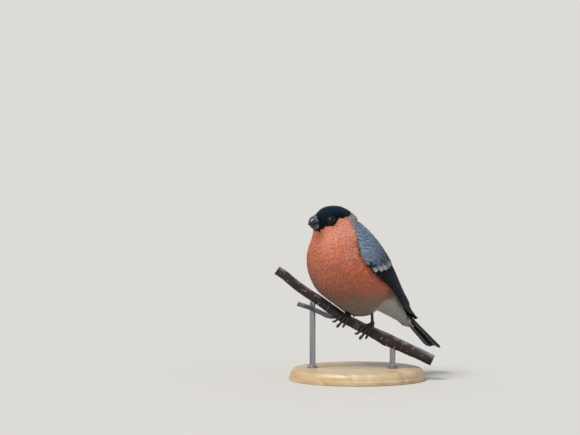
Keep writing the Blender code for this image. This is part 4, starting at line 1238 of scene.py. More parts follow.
tail = {
    "root": (22.0, 36.2), "tip": (62.8, 41.9), "thick": 2.4, "pairs": 6, "featherWidth": 6.2,
    "rootSpread": 7.6, "tipSpread": 12.8, "notch": 0.9, "step": 0.32,
    "outerShorter": 0.8, "featherThick": 0.26,
    "covertTiers": (  # root and tips past the tail's root, edges, depth at root and tip
        (-3.0, (12.6, 11.4, 9.6), (-1.0, 4.9), (0.5, -0.25)),
        (-7.0, (6.6, 6.0, 5.0), (-0.8, 4.6), (0.2, -0.45)),
    ),
    "black": "05060a", "sheen": "0a1416", "worn": "1c1e20",
}


def tailPoint(s, x, depth):
    slope = (tail["tip"][1] - tail["root"][1]) / (tail["tip"][0] - tail["root"][0])
    top = tail["root"][1] + (s - tail["root"][0]) * slope + tail["thick"] / 2
    return slopePoint(s, top - depth, x)


def tailColour(k, vane):
    u, t = vane["shares"].T
    tone = blend(linear(tail["black"]), linear(tail["sheen"]), ease(0.6, 1.0, u) * 0.8)
    return blend(tone, linear(tail["worn"]), ease(1.4, 0.3, (1 - t) * vane["long"]) * 0.7)


def makeTail():
    draw = np.random.default_rng(wing["seed"] + 1)
    vanes = []
    start = tail["root"][0]
    length = tail["tip"][0] - start
    for pair in range(tail["pairs"]):
        place = (pair + 0.5) / tail["pairs"]
        outermost = pair == tail["pairs"] - 1
        reach = length - tail["notch"] * (1 - place) ** 1.5 - (tail["outerShorter"] if outermost else 0.0)

        def edgesAt(s, place=place, reach=reach):
            share = (s - start) / reach
            middle = place * (tail["rootSpread"] + (tail["tipSpread"] - tail["rootSpread"]) * share) / 2
            half = tail["featherWidth"] * (0.72 + 0.28 * share) / 2
            return middle - half, middle + half

        vane = firmVane(
            tailPoint, edgesAt, start, start + reach - 0.15,
            (tail["step"] * pair + 0.2, tail["step"] * pair + 0.12), 0.0, tail["featherThick"], draw,
            rows=44, tipFrom=0.9, splits=4,
        )
        vane["colour"] = tailColour(pair, vane)
        vanes.append(vane)
    upper = []
    for root, tips, edges, lift in tail["covertTiers"]:
        upper += tierVanes(
            tailPoint, [1.0] * 3, [start + tip for tip in tips], start + root, lambda s, edges=edges: edges,
            1.6, 0.2, lift, tail["featherThick"], draw, tailColour,
        )
    vanePiece("tail_feathers", vanes + flipped(vanes), flightPlumage, "flight_feather", ("tail",))
    vanePiece("upper_tail_coverts", upper + flipped(upper), flightPlumage, "flight_feather")


def makeRumpPlumes():  # white down-like feathers that puff out between the wings
    draw = np.random.default_rng(wing["seed"] + 2)
    spots = np.array(staggered(draw, *wing["plumeRoots"], lambda s: (-15.0, 15.0)))
    total = len(spots)
    long = draw.normal(wing["plumeLong"], 0.6, total)
    stations, ups = vaultStations(spots, long, 0.9, 0.0, wing["plumeDepths"])
    colours = linear(wing["rumpWhite"]) * draw.normal(1.0, 0.05, total)[:, None]
    tuftPiece(
        "rump_feathers", stations, ups, np.full(total, wing["plumeWide"]), colours, softPlumage,
        "white_feather", 9, 0.10, draw, roundness=0.3,
    )


makeBack()
makeTail()
makeRumpPlumes()
print("wings, mantle and tail made")


# Bill: dark horn with a painted blue-grey highlight and painted shade along the mouth, the upper half hooked
# over the lower.
bill = {
    "tip": (23.0, 67.2), "gape": 69.2, "width": 8.8, "upperDepth": 4.5, "lowerDepth": 4.3,
    "lowerShorter": 1.6, "bulge": (2.2, 0.62), "taper": (1.7, 0.75), "hook": 0.65, "hookFrom": 0.86,
    "gap": 0.10, "rows": 44, "sides": 40, "nostril": (17.6, 2.9, 72.2), "nostrilWide": 0.55,
    "nostrilDeep": 0.7, "crest": 0.035, "lip": 0.12,
    # The blue-grey is a painted highlight, the sky's reflection on the glossy horn; the edge tone is painted
    # shade along the mouth.
    "horn": "14181f", "paintedHighlight": "5e7a90", "edge": "08080b",
}


def hornMaterial():
    # Keratin sheath, worn smooth: a satin surface with fine streaks along the bill.
    made, tree, shader = newMaterial(
        "worn_keratin_horn", {"Roughness": 0.34, "IOR": 1.54, "Coat Weight": 0.15}
    )
    paint = addNode(tree, "Attribute", attribute_name="pigment_and_painted_light")
    place = addNode(tree, "TexCoord")
    stretch = addNode(
        tree, "Mapping", {"Vector": place.outputs["Object"], "Scale": patternScale(0.25, 1.11, 0.25)}
    )
    streak = addNode(tree, "TexNoise", {"Vector": stretch.outputs["Vector"], "Scale": 1.0, "Detail": 3.0})
    light = addNode(
        tree, "MapRange", {"Value": streak.outputs["Fac"], "To Min": 0.75, "To Max": 1.25}
    )
    tone = addNode(
        tree, "VectorMath", {0: paint.outputs["Color"], "Scale": light.outputs["Result"]}, operation="SCALE"
    )
    bump = addNode(tree, "Bump", {"Height": streak.outputs["Fac"], "Distance": 0.02 * mm, "Strength": 0.5})
    dress(tree, shader, tone.outputs["Vector"], bump)
    return made


def halfBill(name, way, length, depth, hook, material, node):
    t = np.linspace(0.0, 1.0, bill["rows"]) ** 0.85
    t = np.concatenate([[-0.12], t])[:, None]
    inside = np.maximum(t, 0)
    angles = np.linspace(0.0, math.pi, bill["sides"])
    drop = bill["gape"] - bill["tip"][1] - 0.6
    base = bill["gape"] - drop * inside**2 + way * bill["gap"] / 2
    bulge = np.maximum(1 - inside ** bill["bulge"][0], 0.004) ** bill["bulge"][1]
    width = bill["width"] / 2 * np.maximum(1 - inside ** bill["taper"][0], 0.004) ** bill["taper"][1]
    sink = hook * np.maximum(inside - bill["hookFrom"], 0) / (1 - bill["hookFrom"])
    crest = 1 + bill["crest"] * np.exp(-(((angles - math.pi / 2) / 0.22) ** 2))
    rise = way * depth * bulge * np.sin(angles) ** 0.9 * crest - sink
    lip = bill["lip"] * np.exp(-((np.minimum(angles, math.pi - angles) / 0.12) ** 2))
    lip = lip * (1 if way > 0 else -0.5)
    across = (width + lip * (width > 0.6)) * np.cos(angles)
    forward = head["billRoot"][0] + length * t
    points = headPoint(forward + 0 * across, across, base + rise)
    if way > 0:
        for hand in (1, -1):
            pit = headPoint(bill["nostril"][0], hand * bill["nostril"][1], bill["nostril"][2])
            near = np.exp(-((gapTo(points, pit) / bill["nostrilWide"]) ** 2))
            inward = unit(headPoint(bill["nostril"][0] + 1.0, 0.0, 70.0) - points)
            points += inward * (near * bill["nostrilDeep"])[..., None]
    made = loftPiece(name, points, material)
    # painted highlight: blue-grey along the middle of each half near its root
    paintedHighlight = ease(0.75, 0.1, inside) * ease(0.15, 0.5, np.sin(angles)) * 0.8
    tone = blend(linear(bill["horn"]), linear(bill["paintedHighlight"]), paintedHighlight)
    # painted shade: darker along the cutting edges, where the two halves meet
    tone = blend(tone, linear(bill["edge"]), ease(0.30, 0.05, np.sin(angles)) + 0 * inside)
    paintLoft(made, tone)
    return settle(made, "bill", node)


def makeBill():
    material = hornMaterial()
    length = bill["tip"][0] - head["billRoot"][0]
    halfBill("upper_beak", 1, length, bill["upperDepth"], bill["hook"], material, "upper_bill")
    halfBill("lower_beak", -1, length - bill["lowerShorter"], bill["lowerDepth"], 0.0, material, "lower_bill")


bristles = {
    "seed": 9, "count": 520, "tone": "06070b", "width": 0.6, "length": (1.5, 2.5), "behind": (0.1, 1.6),
    "lifts": (0.0, 0.22, 0.26, 0.18), "socket": (4.4, 4.5), "narrowing": (0.25, 0.42),
}


def makeNasalBristles():  # short stiff feathers that hide the bill's root and lie forward over it
    draw = np.random.default_rng(bristles["seed"])
    total = bristles["count"]
    angle = draw.uniform(-0.6, math.pi + 0.6, total)
    back = draw.uniform(*bristles["behind"], total)
    long = draw.uniform(*bristles["length"], total) * (0.75 + 0.35 * np.clip(np.sin(angle), 0, 1))
    start, aside, high = head["billRoot"]
    stations = []
    ups = []
    for share, lift in zip(stationShares, bristles["lifts"]):
        forward = start - back + long * share
        past = np.clip(forward - start, 0, 9)
        radiusX, radiusZ = (
            radius + lift - narrow * past
            for radius, narrow in zip(bristles["socket"], bristles["narrowing"])
        )
        radiusX = radiusX + 0.10 * np.clip(start - forward, 0, 9)
        outX, outZ = np.cos(angle), np.sin(angle)
        stations.append(headPoint(forward, outX * radiusX, high + outZ * radiusZ))
        ups.append(headPoint(forward, outX, outZ) - headPoint(forward, 0.0, 0.0))
    colours = linear(bristles["tone"]) * draw.normal(1.0, 0.1, total)[:, None]
    tuftPiece(
        "nasal_bristles", np.stack(stations, axis=1), unit(np.stack(ups, axis=1)),
        np.full(total, bristles["width"]), colours, capPlumage, "cap_feather", 4, 0.06, draw,
    )


# Eyes: wet dark globes with a clear bulge, ringed by thin bare lids.
eye = {
    "iris": 1.80, "pupil": 1.30, "bulge": 0.22, "irisTone": "251108", "rimTone": "0a0504",
    "lidDistance": 2.85, "lidOpening": math.radians(56), "lidThick": 0.30, "lean": math.radians(32),
    "pupilTone": "020202", "rows": 40, "sides": 48, "lidSides": (72, 14),
}


def eyeAxes(side):  # out through the pupil, up, and toward the bill
    hand = 1 if side == "left" else -1
    forward, outward, height = head["eye"]
    lean = eye["lean"]
    ahead = headPoint(forward + math.sin(lean), hand * (outward + math.cos(lean)), height)
    out = unit(ahead - eyeMiddles[side])
    up = unit(np.array((0.0, 0.0, 1.0)) - out * out[2])
    return out, up, np.cross(up, out)


def eyeMaterial():
    # Cornea over a dark brown iris: a wet surface with one sharp highlight.
    made, tree, shader = newMaterial(
        "wet_dark_eye", {"Roughness": 0.05, "IOR": 1.376, "Specular IOR Level": 0.4}
    )
    paint = addNode(tree, "Attribute", attribute_name="pigment_and_painted_light")
    place = addNode(tree, "TexCoord")
    fleck = addNode(
        tree, "TexNoise", {"Vector": place.outputs["Object"], "Scale": patternScale(0.286), "Detail": 4.0}
    )
    light = addNode(tree, "MapRange", {"Value": fleck.outputs["Fac"], "To Min": 0.5, "To Max": 1.5})
    tone = addNode(
        tree, "VectorMath", {0: paint.outputs["Color"], "Scale": light.outputs["Result"]}, operation="SCALE"
    )
    tree.links.new(tone.outputs["Vector"], shader.inputs["Base Color"])
    return made


def lidMaterial():
    # Bare lid skin: thin, dry and finely creased.
    made, tree, shader = newMaterial("creased_lid_skin", {"Roughness": 0.55, "IOR": 1.4})
    place = addNode(tree, "TexCoord")
    crease = addNode(
        tree, "TexVoronoi", {"Vector": place.outputs["Object"], "Scale": patternScale(0.25)}
    )
    ramp = addNode(
        tree, "ValToRGB", {"Fac": crease.outputs["Distance"]}, stops=((0.1, "0c0a0b"), (0.8, "2b2627"))
    )
    bump = addNode(
        tree, "Bump", {"Height": crease.outputs["Distance"], "Distance": 0.04 * mm, "Strength": 0.8}
    )
    dress(tree, shader, ramp.outputs["Color"], bump)
    return made


def makeGlobe(side, material):
    out, up, ahead = eyeAxes(side)
    sides = eye["sides"]
    angles = np.linspace(0.02, math.pi - 0.02, eye["rows"])
    turns = turnsRound(sides)
    flat = head["eyeRadius"] * np.sin(angles)
    deep = head["eyeRadius"] * np.cos(angles)
    deep = deep + eye["bulge"] * ease(1.9, 0.2, flat) * (deep > 0)
    rings = (
        eyeMiddles[side] + out * deep[:, None, None]
        + flat[:, None, None] * (up * np.sin(turns)[:, None] + ahead * np.cos(turns)[:, None])
    )
    made = loftPiece(f"eyeball_{side}", rings, material)
    iris, pupil = eye["iris"], eye["pupil"]
    ring = ease(iris + 0.1, iris - 0.05, flat) * ease(pupil - 0.05, pupil + 0.1, flat)
    tone = blend(linear(eye["rimTone"]), linear(eye["irisTone"]), ring * (deep > 0))
    tone = blend(tone, linear(eye["pupilTone"]), ease(pupil + 0.05, pupil - 0.05, flat) * (deep > 0))
    paintLoft(made, np.repeat(tone, sides, axis=0))
    settle(made, "eye", f"eye_{side}")


def makeLid(side, material):  # a ring with a creased outer face, a little thicker above
    out, up, ahead = eyeAxes(side)
    around, sides = eye["lidSides"]
    corner = turnsRound(sides)
    rows = []
    for turn in turnsRound(around):
        away = up * math.sin(turn) + ahead * math.cos(turn)
        opening = eye["lidOpening"] - math.radians(2.5) * abs(math.sin(turn))
        opening += math.radians(3) * abs(math.cos(turn)) ** 3
        thick = eye["lidThick"] * (1 + 0.07 * math.sin(turn * 24) + 0.15 * math.sin(turn))
        reach = eye["lidDistance"] * math.sin(opening) + thick * np.cos(corner)
        high = eye["lidDistance"] * math.cos(opening) - 0.12 + 0.8 * thick * np.sin(corner)
        rows.append(eyeMiddles[side] + away * reach[:, None] + out * high[:, None])
    faces = gridFaces(around + 1, sides, True) % (around * sides)
    lid = makePiece(f"lid_{side}", np.array(rows).reshape(-1, 3), [faces], material)
    fixNormals(lid)
    settle(lid, "leg")


def makeEyes():
    globe = eyeMaterial()
    lidSkin = lidMaterial()
    for side in ("left", "right"):
        makeGlobe(side, globe)
        makeLid(side, lidSkin)


makeBill()
makeNasalBristles()
makeEyes()
print("bill and eyes made")


# Perch: a smooth barked branch cut at both ends, with the start of a side twig.
perch = {
    "heading": math.radians(50),
    "rows": (  # run in plan, height, radius, from the upper end down
        (-51.0, 35.2, 3.1), (-45.6, 31.4, 3.1), (-35.4, 23.2, 3.2), (-21.9, 14.2, 3.3), (-8.4, 4.5, 3.4),
        (0.0, -0.2, 3.4), (11.8, -6.0, 3.6), (21.9, -10.9, 4.2), (32.1, -15.5, 4.0), (45.6, -21.7, 3.8),
        (54.0, -25.6, 3.8),
    ),
    "twigRows": (  # and how far it stands to the front of the perch
        (-37.0, 13.0, 1.5, 6.4), (-28.7, 10.3, 1.6, 5.2), (-21.9, 7.1, 1.6, 3.4), (-15.5, 4.2, 1.7, 1.2),
        (-10.5, 4.6, 1.8, 0.0),
    ),
    "scars": (1.8, 2.9, 3.8, 4.9, -16.5, 33.0),
    "pores": (  # run and degrees round the branch, from its front face up
        (8.0, 33.0), (19.9, -8.0), (29.4, -36.0), (-32.0, 12.0), (-26.0, 27.0), (-21.9, -33.0),
        (6.2, 62.0), (24.5, -52.0),
    ),
    "morePores": 70,
    "seed": 23,
    "poreSize": 0.42,
    "poreRise": 0.22,
    "meanRadius": 3.5,
    "scarRise": 0.20,
    "knot": (22.5, 2.4, -1.2, 0.6),  # run, length, turn and width in radians
    "knotRise": 0.55,
    "bark": ("1e1211", "33201e"),
    "twigBark": ("4a464f", "6a6a78"),
    "scarTone": "7c6a64",
    "poreTone": "c9a396",
    # painted highlight: grey for the branch's sky-facing side
    "paintedHighlight": "9b969c",
    "cutRings": (  # share of the radius and tone of the saw cuts
        (0.97, "5a4032"), (0.9, "b5976e"), (0.75, "94744e"), (0.6, "b5976e"), (0.45, "94744e"),
        (0.3, "b5976e"), (0.15, "94744e"), (0.02, "b5976e"),
    ),
    "pith": "7a5f42",
}


def barkMaterial():
    # Young cherry-like bark: thin, reddish brown, with a painted grey highlight where it faces the sky.
    made, tree, shader = newMaterial("smooth_bark_with_painted_highlight", {"Roughness": 0.62, "IOR": 1.5})
    paint = addNode(tree, "Attribute", attribute_name="pigment_and_painted_light")
    place = addNode(tree, "TexCoord")
    facing = addNode(tree, "NewGeometry")
    split = addNode(tree, "SeparateXYZ", {"Vector": facing.outputs["Normal"]})
    patch = addNode(
        tree, "TexNoise", {"Vector": place.outputs["Object"], "Scale": patternScale(4.55), "Detail": 5.0}
    )
    fine = addNode(
        tree, "TexNoise", {"Vector": place.outputs["Object"], "Scale": patternScale(0.625), "Detail": 4.0}
    )
    # painted highlight: grey laid over the bark where it faces up, broken by patches
    skyward = addNode(tree, "Math", {0: split.outputs["Z"], 1: patch.outputs["Fac"]}, operation="ADD")
    paintedHighlight = addNode(
        tree, "MapRange",
        {"Value": skyward.outputs["Value"], "From Min": 0.95, "From Max": 1.45, "To Min": 0.0,
         "To Max": 0.75},
    )
    speck = addNode(
        tree, "MapRange",
        {"Value": fine.outputs["Fac"], "From Min": 0.35, "From Max": 0.7, "To Min": 0.5, "To Max": 1.1},
    )
    tone = addNode(
        tree, "VectorMath", {0: paint.outputs["Color"], "Scale": speck.outputs["Result"]}, operation="SCALE"
    )
    grey = (*linear(perch["paintedHighlight"]), 1.0)
    mixed = addNode(
        tree, "Mix", {"Factor": paintedHighlight.outputs["Result"], 6: tone.outputs["Vector"], 7: grey},
        data_type="RGBA",
    )
    bump = addNode(tree, "Bump", {"Height": fine.outputs["Fac"], "Distance": 0.12 * mm, "Strength": 0.7})
    dress(tree, shader, mixed.outputs[2], bump)
    return made


perchWay = np.array((math.cos(perch["heading"]), math.sin(perch["heading"]), 0.0))
perchFront = np.array((math.sin(perch["heading"]), -math.cos(perch["heading"]), 0.0))
perchCurve = smoothRows(perch["rows"], 8)


def tubeFrames(rows):
    slopes = np.gradient(rows[:, 1], rows[:, 0])
    up = unit(np.array((0.0, 0.0, 1.0)) - perchWay * slopes[:, None])
    forward = rows[:, 3] if rows.shape[1] > 3 else np.zeros(len(rows))
    middle = perchWay * rows[:, :1] + np.array((0.0, 0.0, 1.0)) * rows[:, 1:2] + perchFront * forward[:, None]
    return middle, up


def barkTube(name, rows, sides, relief, colour, material, nodes=()):
    # A fine tube with its relief added to the radius, and flat cut ends with growth rings.
    middle, up = tubeFrames(rows)
    run, angle = np.meshgrid(rows[:, 0], turnsRound(sides), indexing="ij")
    radius = rows[:, 2][:, None] + relief(run, angle)
    rings = middle[:, None] + radius[..., None] * (
        perchFront * np.cos(angle)[..., None] + up[:, None] * np.sin(angle)[..., None]
    )
    shares = np.array([share for share, tone in perch["cutRings"]])[:, None, None]
    start, end = (middle[row] + (rings[row] - middle[row]) * shares for row in (0, -1))
    cut = np.stack([np.tile(linear(tone), (sides, 1)) for share, tone in perch["cutRings"]])
    made = loftPiece(name, np.concatenate([start[::-1], rings, end]), material)
    paintLoft(made, np.concatenate([cut[::-1], colour(run, angle), cut]), linear(perch["pith"]))
    made.data.set_sharp_from_angle(angle=math.radians(50))
    settle(made, "bark", *nodes)


def perchPores():  # run, turn and size of each pore
    draw = np.random.default_rng(perch["seed"])
    places = [(draw.uniform(-50, 53), draw.uniform(0, 2 * math.pi)) for _ in range(perch["morePores"])]
    sizes = draw.uniform(0.4, 1.0, perch["morePores"])
    seen = [(run, math.radians(turn), 1.25) for run, turn in perch["pores"]]
    return seen + [(run, turn, size) for (run, turn), size in zip(places, sizes)]


def turnGap(angle, turn):
    return (angle - turn + math.pi) % (2 * math.pi) - math.pi


def poreShare(run, angle):
    total = np.zeros(run.shape)
    for where, turn, size in branchPores:
        near = np.abs(run[:, 0] - where) < 2.5
        wide = perch["poreSize"] * size
        gapX = (run[near] - where) / wide
        gapY = turnGap(angle[near], turn) * perch["meanRadius"] / (wide * 1.5)
        total[near] = np.maximum(total[near], np.exp(-(gapX**2) - gapY**2))
    return total


def pastScar(run, angle, scar):  # mm past a ring scar, which wanders a little round the branch
    return run - scar - 0.35 * np.sin(angle * 2 + scar)


def branchRelief(run, angle):
    out = 0.05 * np.sin(angle * 9 + run * 0.35) * np.sin(run * 0.8 + 2)
    out += 0.05 * np.sin(angle * 3 + run * 0.21) + 0.06 * np.sin(run * 0.55 + angle)
    for scar in perch["scars"]:
        past = pastScar(run, angle, scar)
        dip = np.exp(-(((past - 0.6) / 0.3) ** 2))
        out += perch["scarRise"] * (np.exp(-((past / 0.28) ** 2)) - 0.5 * dip)
    where, long, turn, wide = perch["knot"]
    knot = np.exp(-(((run - where) / long) ** 2) - (turnGap(angle, turn) / wide) ** 2)
    return out + perch["knotRise"] * knot + perch["poreRise"] * poreShare(run, angle)


def barkTone(tones, run, angle, radius, size, seed, low, high):
    flat = np.stack([run, radius * np.cos(angle), radius * np.sin(angle)], axis=-1).reshape(-1, 3)
    patches = mottle(flat, size, seed).reshape(run.shape)
    return blend(linear(tones[0]), linear(tones[1]), ease(low, high, patches))


def branchColour(run, angle):
    tone = barkTone(perch["bark"], run, angle, perch["meanRadius"], 9.0, 3, -0.8, 0.9)
    for scar in perch["scars"]:
        edge = np.exp(-((pastScar(run, angle, scar) / 0.3) ** 2))
        tone = blend(tone, linear(perch["scarTone"]), 0.6 * edge)
    return blend(tone, linear(perch["poreTone"]), ease(0.35, 0.8, poreShare(run, angle)))


def twigRelief(run, angle):
    return 0.05 * np.sin(angle * 4 + run) + 0.05 * np.sin(run * 1.3)


def twigColour(run, angle):
    return barkTone(perch["twigBark"], run, angle, 1.0, 5.0, 8, -1, 1)


def makePerch():
    material = barkMaterial()
    branch, twig = smoothRows(perch["rows"], 34), smoothRows(perch["twigRows"], 16)
    barkTube("perch_branch", branch, 64, branchRelief, branchColour, material, ("perch",))
    barkTube("side_twig", twig, 32, twigRelief, twigColour, material)


branchPores = perchPores()
makePerch()
print("perch made")


# Legs: scaled shanks and toes that grip the perch, three in front and one behind.
legs = {
    "places": {"left": 11.0, "right": -4.2},
    "shankRadius": 1.05,
    "shankTops": {"left": (7.4, 10.6, 10.0), "right": (-4.4, 1.2, 14.0)},
    "toeRadius": 0.95,
    "knuckle": 1.6,
    "toes": (  # name, degrees round the perch, sideways spread and looseness at the end
        ("inner", 138.0, 3.4, 1.32), ("middle", 156.0, 0.0, 1.62), ("outer", 138.0, -3.4, 1.36),
        ("hind", -112.0, 0.4, 1.10),
    ),
    "lean": -3.0,
    "clawSweep": 58.0,
    "clawRadius": 0.72,
    "gap": 0.3,
    "scale": 0.95,
    "shankScale": 1.0925,
    "shankInside": 2.5,
    "shankRows": (70, 26),
    "toeRows": (60, 22),
    "clawRows": (40, 20),
    "knuckleRows": (18, 24),
    "shankTones": ("1c1413", "3e322d"),
    "toeTones": ("151010", "383030"),
    "knuckleTone": "2a1f1c",
}


def perchAt(run):
    height, radius = (float(v) for v in rowAt(perchCurve, run))
    ahead = float(rowAt(perchCurve, run + 1.0)[0])
    way = unit(perchWay + np.array((0.0, 0.0, ahead - height)))
    return perchWay * run + np.array((0.0, 0.0, height)), radius, way


def footFrame(side):
    middle, radius, along = perchAt(legs["places"][side])
    up = unit(np.array((0.0, 0.0, 1.0)) - along * along[2])
    return middle, radius, up, np.cross(along, up), along


def toePath(side, sweep, spread, loose, shares):
    middle, radius, up, front, along = footFrame(side)
    hand = 1 if side == "left" else -1
    angle = np.radians(sweep * shares)
    ring = (radius + legs["gap"] + legs["toeRadius"]) * (1 + (loose - 1) * np.minimum(shares, 1.0) ** 2)
    ring = ring - np.maximum(shares - 1, 0) * 2.6
    reach = np.minimum(shares, 1.2)
    shift = legs["lean"] * reach * math.copysign(1, sweep) + hand * spread * reach**0.8
    return (
        middle + ring[:, None] * (up * np.cos(angle)[:, None] + front * np.sin(angle)[:, None])
        + along * shift[:, None]
    )


def shapedTube(path, radii, sides, firstSide, shape):
    # Rings square to the path. shape(length, turn) scales the radius all round.
    ways = unit(np.gradient(path, axis=0))
    length = np.concatenate([[0], np.cumsum(np.linalg.norm(np.diff(path, axis=0), axis=1))])
    turns = turnsRound(sides)
    side = np.asarray(firstSide, float)
    rings = []
    for point, way, radius, at in zip(path, ways, radii, length):
        side = unit(side - way * (side @ way))
        other = np.cross(way, side)
        reach = radius * shape(at, turns)
        circle = side * np.cos(turns)[:, None] + other * np.sin(turns)[:, None]
        rings.append(point + reach[:, None] * circle)
    return np.array(rings)


def scaleMaterial():
    # Leg scutes: dry plates of horn with pale worn rims, satin rather than wet.
    made, tree, shader = newMaterial("dry_leg_scute", {"Roughness": 0.5, "IOR": 1.5, "Coat Weight": 0.08})
    paint = addNode(tree, "Attribute", attribute_name="pigment_and_painted_light")
    place = addNode(tree, "TexCoord")
    plate = addNode(
        tree, "TexVoronoi", {"Vector": place.outputs["Object"], "Scale": patternScale(0.385)}
    )
    light = addNode(
        tree, "MapRange", {"Value": plate.outputs["Distance"], "To Min": 1.35, "To Max": 0.6}
    )
    tone = addNode(
        tree, "VectorMath", {0: paint.outputs["Color"], "Scale": light.outputs["Result"]}, operation="SCALE"
    )
    bump = addNode(
        tree, "Bump", {"Height": plate.outputs["Distance"], "Distance": 0.05 * mm, "Strength": 0.6},
        invert=True,
    )
    dress(tree, shader, tone.outputs["Vector"], bump)
    return made


def clawMaterial():
    # Claw horn: hard, grown in layers and polished by the bark.
    made, tree, shader = newMaterial("polished_claw_horn", {"Roughness": 0.28, "IOR": 1.54})
    place = addNode(tree, "TexCoord")
    layer = addNode(
        tree, "TexNoise", {"Vector": place.outputs["Object"], "Scale": patternScale(1.11), "Detail": 3.0}
    )
    ramp = addNode(
        tree, "ValToRGB", {"Fac": layer.outputs["Fac"]}, stops=((0.35, "0d0b0b"), (0.7, "2b2523"))
    )
    tree.links.new(ramp.outputs["Color"], shader.inputs["Base Color"])
    return made


def knuckleMiddle(side):
    middle, radius, up, front, along = footFrame(side)
    return middle + up * (radius + legs["gap"] + legs["knuckle"])


def wornRims(tones, saws, low):  # dark plates with paler rims, from 0 to 1 along each plate
    return blend(linear(tones[0]), linear(tones[1]), ease(low, 1.0, saws) * 0.7)


def makeShank(side, material):
    rows, sides = legs["shankRows"]
    knuckle = knuckleMiddle(side)
    top = np.array(legs["shankTops"][side])
    way = unit(top - knuckle)
    top = top + way * legs["shankInside"]
    shares = np.linspace(0.0, 1.0, rows)
    path = knuckle + (top - knuckle) * shares[:, None] + way * 0.4
    swell = np.interp(shares, (0, 0.12, 0.35, 0.7, 1.0), (1.25, 1.0, 0.9, 0.95, 1.25))

    def scutes(at, turns):  # overlapping plates down the front, a smooth blade behind
        saw = (at / legs["shankScale"]) % 1.0
        return 1 + 0.10 * (saw - 0.5) * np.clip(np.cos(turns - 1.57) + 0.5, 0, 1)

    rings = shapedTube(path, legs["shankRadius"] * swell, sides, footFrame(side)[-1], scutes)
    shank = loftPiece(f"scaled_shank_{side}", rings, material)
    saws = (shares * np.linalg.norm(top - knuckle) / legs["shankScale"]) % 1.0
    paintLoft(shank, np.repeat(wornRims(legs["shankTones"], saws, 0.75), sides, axis=0))
    settle(shank, "leg", f"shank_{side}")


def toeForm(side, sweep, spread, loose):  # rings and tones of one toe
    rows, sides = legs["toeRows"]
    hand = math.copysign(1, sweep)
    shares = np.linspace(0.0, 1.03, rows)
    path = toePath(side, sweep, spread, loose, shares)
    length = np.sum(np.linalg.norm(np.diff(path, axis=0), axis=1))

    def scutesAndPads(at, turns):  # plates over the toe and three soft pads under it
        over = np.clip(-hand * np.sin(turns) + 0.25, 0, 1)
        under = np.clip(hand * np.sin(turns) + 0.1, 0, 1)
        saw = (at / legs["scale"]) % 1.0
        pad = 0.5 + 0.5 * math.cos(at / length * 2 * math.pi * 3)
        return 1 + 0.13 * (saw - 0.5) * over - 0.10 * pad * under

    radii = legs["toeRadius"] * (1.06 - 0.2 * shares)
    rings = shapedTube(path, radii, sides, footFrame(side)[-1], scutesAndPads)
    rings = np.concatenate([rings, path[-1] + (rings[-1:] - path[-1]) * 0.05])
    tone = wornRims(legs["toeTones"], (np.linspace(0, length, rows) / legs["scale"]) % 1.0, 0.7)
    return rings, np.repeat(np.vstack([tone, tone[-1:]]), sides, axis=0)


def knuckleRings(side):
    rows, sides = legs["knuckleRows"]
    up = footFrame(side)[2]
    angles = np.linspace(0.04, math.pi - 0.04, rows)
    turns = turnsRound(sides)
    radius = legs["knuckle"] * 0.98
    sideX = unit(np.cross(up, (1.0, 0.2, 0.0)))
    sideY = np.cross(up, sideX)
    dents = 1 + 0.04 * np.sin(turns * 6)[None, :] * np.sin(angles * 9)[:, None]
    wide = (radius * np.sin(angles)[:, None] * dents)[..., None]
    flat = sideX * np.cos(turns)[:, None] + sideY * np.sin(turns)[:, None]
    return knuckleMiddle(side) + up * (radius * np.cos(angles))[:, None, None] + wide * flat


def makeFoot(side, material):
    points = []
    quads = []
    fans = []
    tones = []
    start = 0
    for toe, sweep, spread, loose in legs["toes"]:
        rings, tone = toeForm(side, sweep, spread, loose)
        rows, columns = rings.shape[:2]
        points += [rings.reshape(-1, 3), rings[[0, -1]].mean(axis=1)]
        quads.append(gridFaces(rows, columns, True) + start)
        fans += endFans(rows, columns, start)
        tones += [tone, tone[:2]]
        start += rows * columns + 2
    ball = knuckleRings(side)
    rows, columns = ball.shape[:2]
    points.append(ball.reshape(-1, 3))
    quads.append(gridFaces(rows, columns, True) + start)
    tones.append(np.tile(linear(legs["knuckleTone"]), (rows * columns, 1)))
    faceSets = [np.concatenate(quads), np.concatenate(fans)]
    foot = makePiece(f"scaled_foot_{side}", np.concatenate(points), faceSets, material)
    fixNormals(foot)
    paintPiece(foot, np.concatenate(tones))
    settle(foot, "leg", f"foot_{side}")


def makeClaws(side, material):
    rows, sides = legs["clawRows"]
    t = np.linspace(0, 1, rows)
    radii = legs["clawRadius"] * (1 - t) ** 0.75 * 0.98 + 0.05
    for toe, sweep, spread, loose in legs["toes"]:
        path = toePath(
            side, sweep, spread, loose, np.linspace(0.985, 1.0 + legs["clawSweep"] / abs(sweep), rows)
        )
        rings = shapedTube(
            path, radii, sides, footFrame(side)[-1], lambda at, turns: 1 + 0.18 * np.abs(np.sin(turns)) - 0.08
        )
        claw = loftPiece(f"curved_claw_{side}_{toe}", rings, material)
        settle(claw, "claw", f"claw_{side}_{toe}")


def makeLegs():
    scales = scaleMaterial()
    horn = clawMaterial()
    for side in ("left", "right"):
        makeShank(side, scales)
        makeFoot(side, scales)
        makeClaws(side, horn)


makeLegs()
print("legs made")


# Stand: a turned maple base and two satin steel rods, as plain as the ones in a museum case.
stand = {
    "radius": 46.0, "thick": 8.0, "sides": 128,
    "side": (  # inset and height of the foot, the band and the groove over it
        (0.6, 0.0), (0.15, 0.25), (0.0, 0.7), (0.0, 2.6), (0.8, 3.0), (0.9, 3.5),
    ),
    "shoulder": 3.4,
    "rodRadius": 2.0, "collarRadius": 3.4, "collarHigh": 1.6, "rodPlaces": (-27.0, 27.0), "rodSides": 48,
    "collarEase": 0.3, "collarSunk": 0.6, "rodIntoBark": 0.93,
}


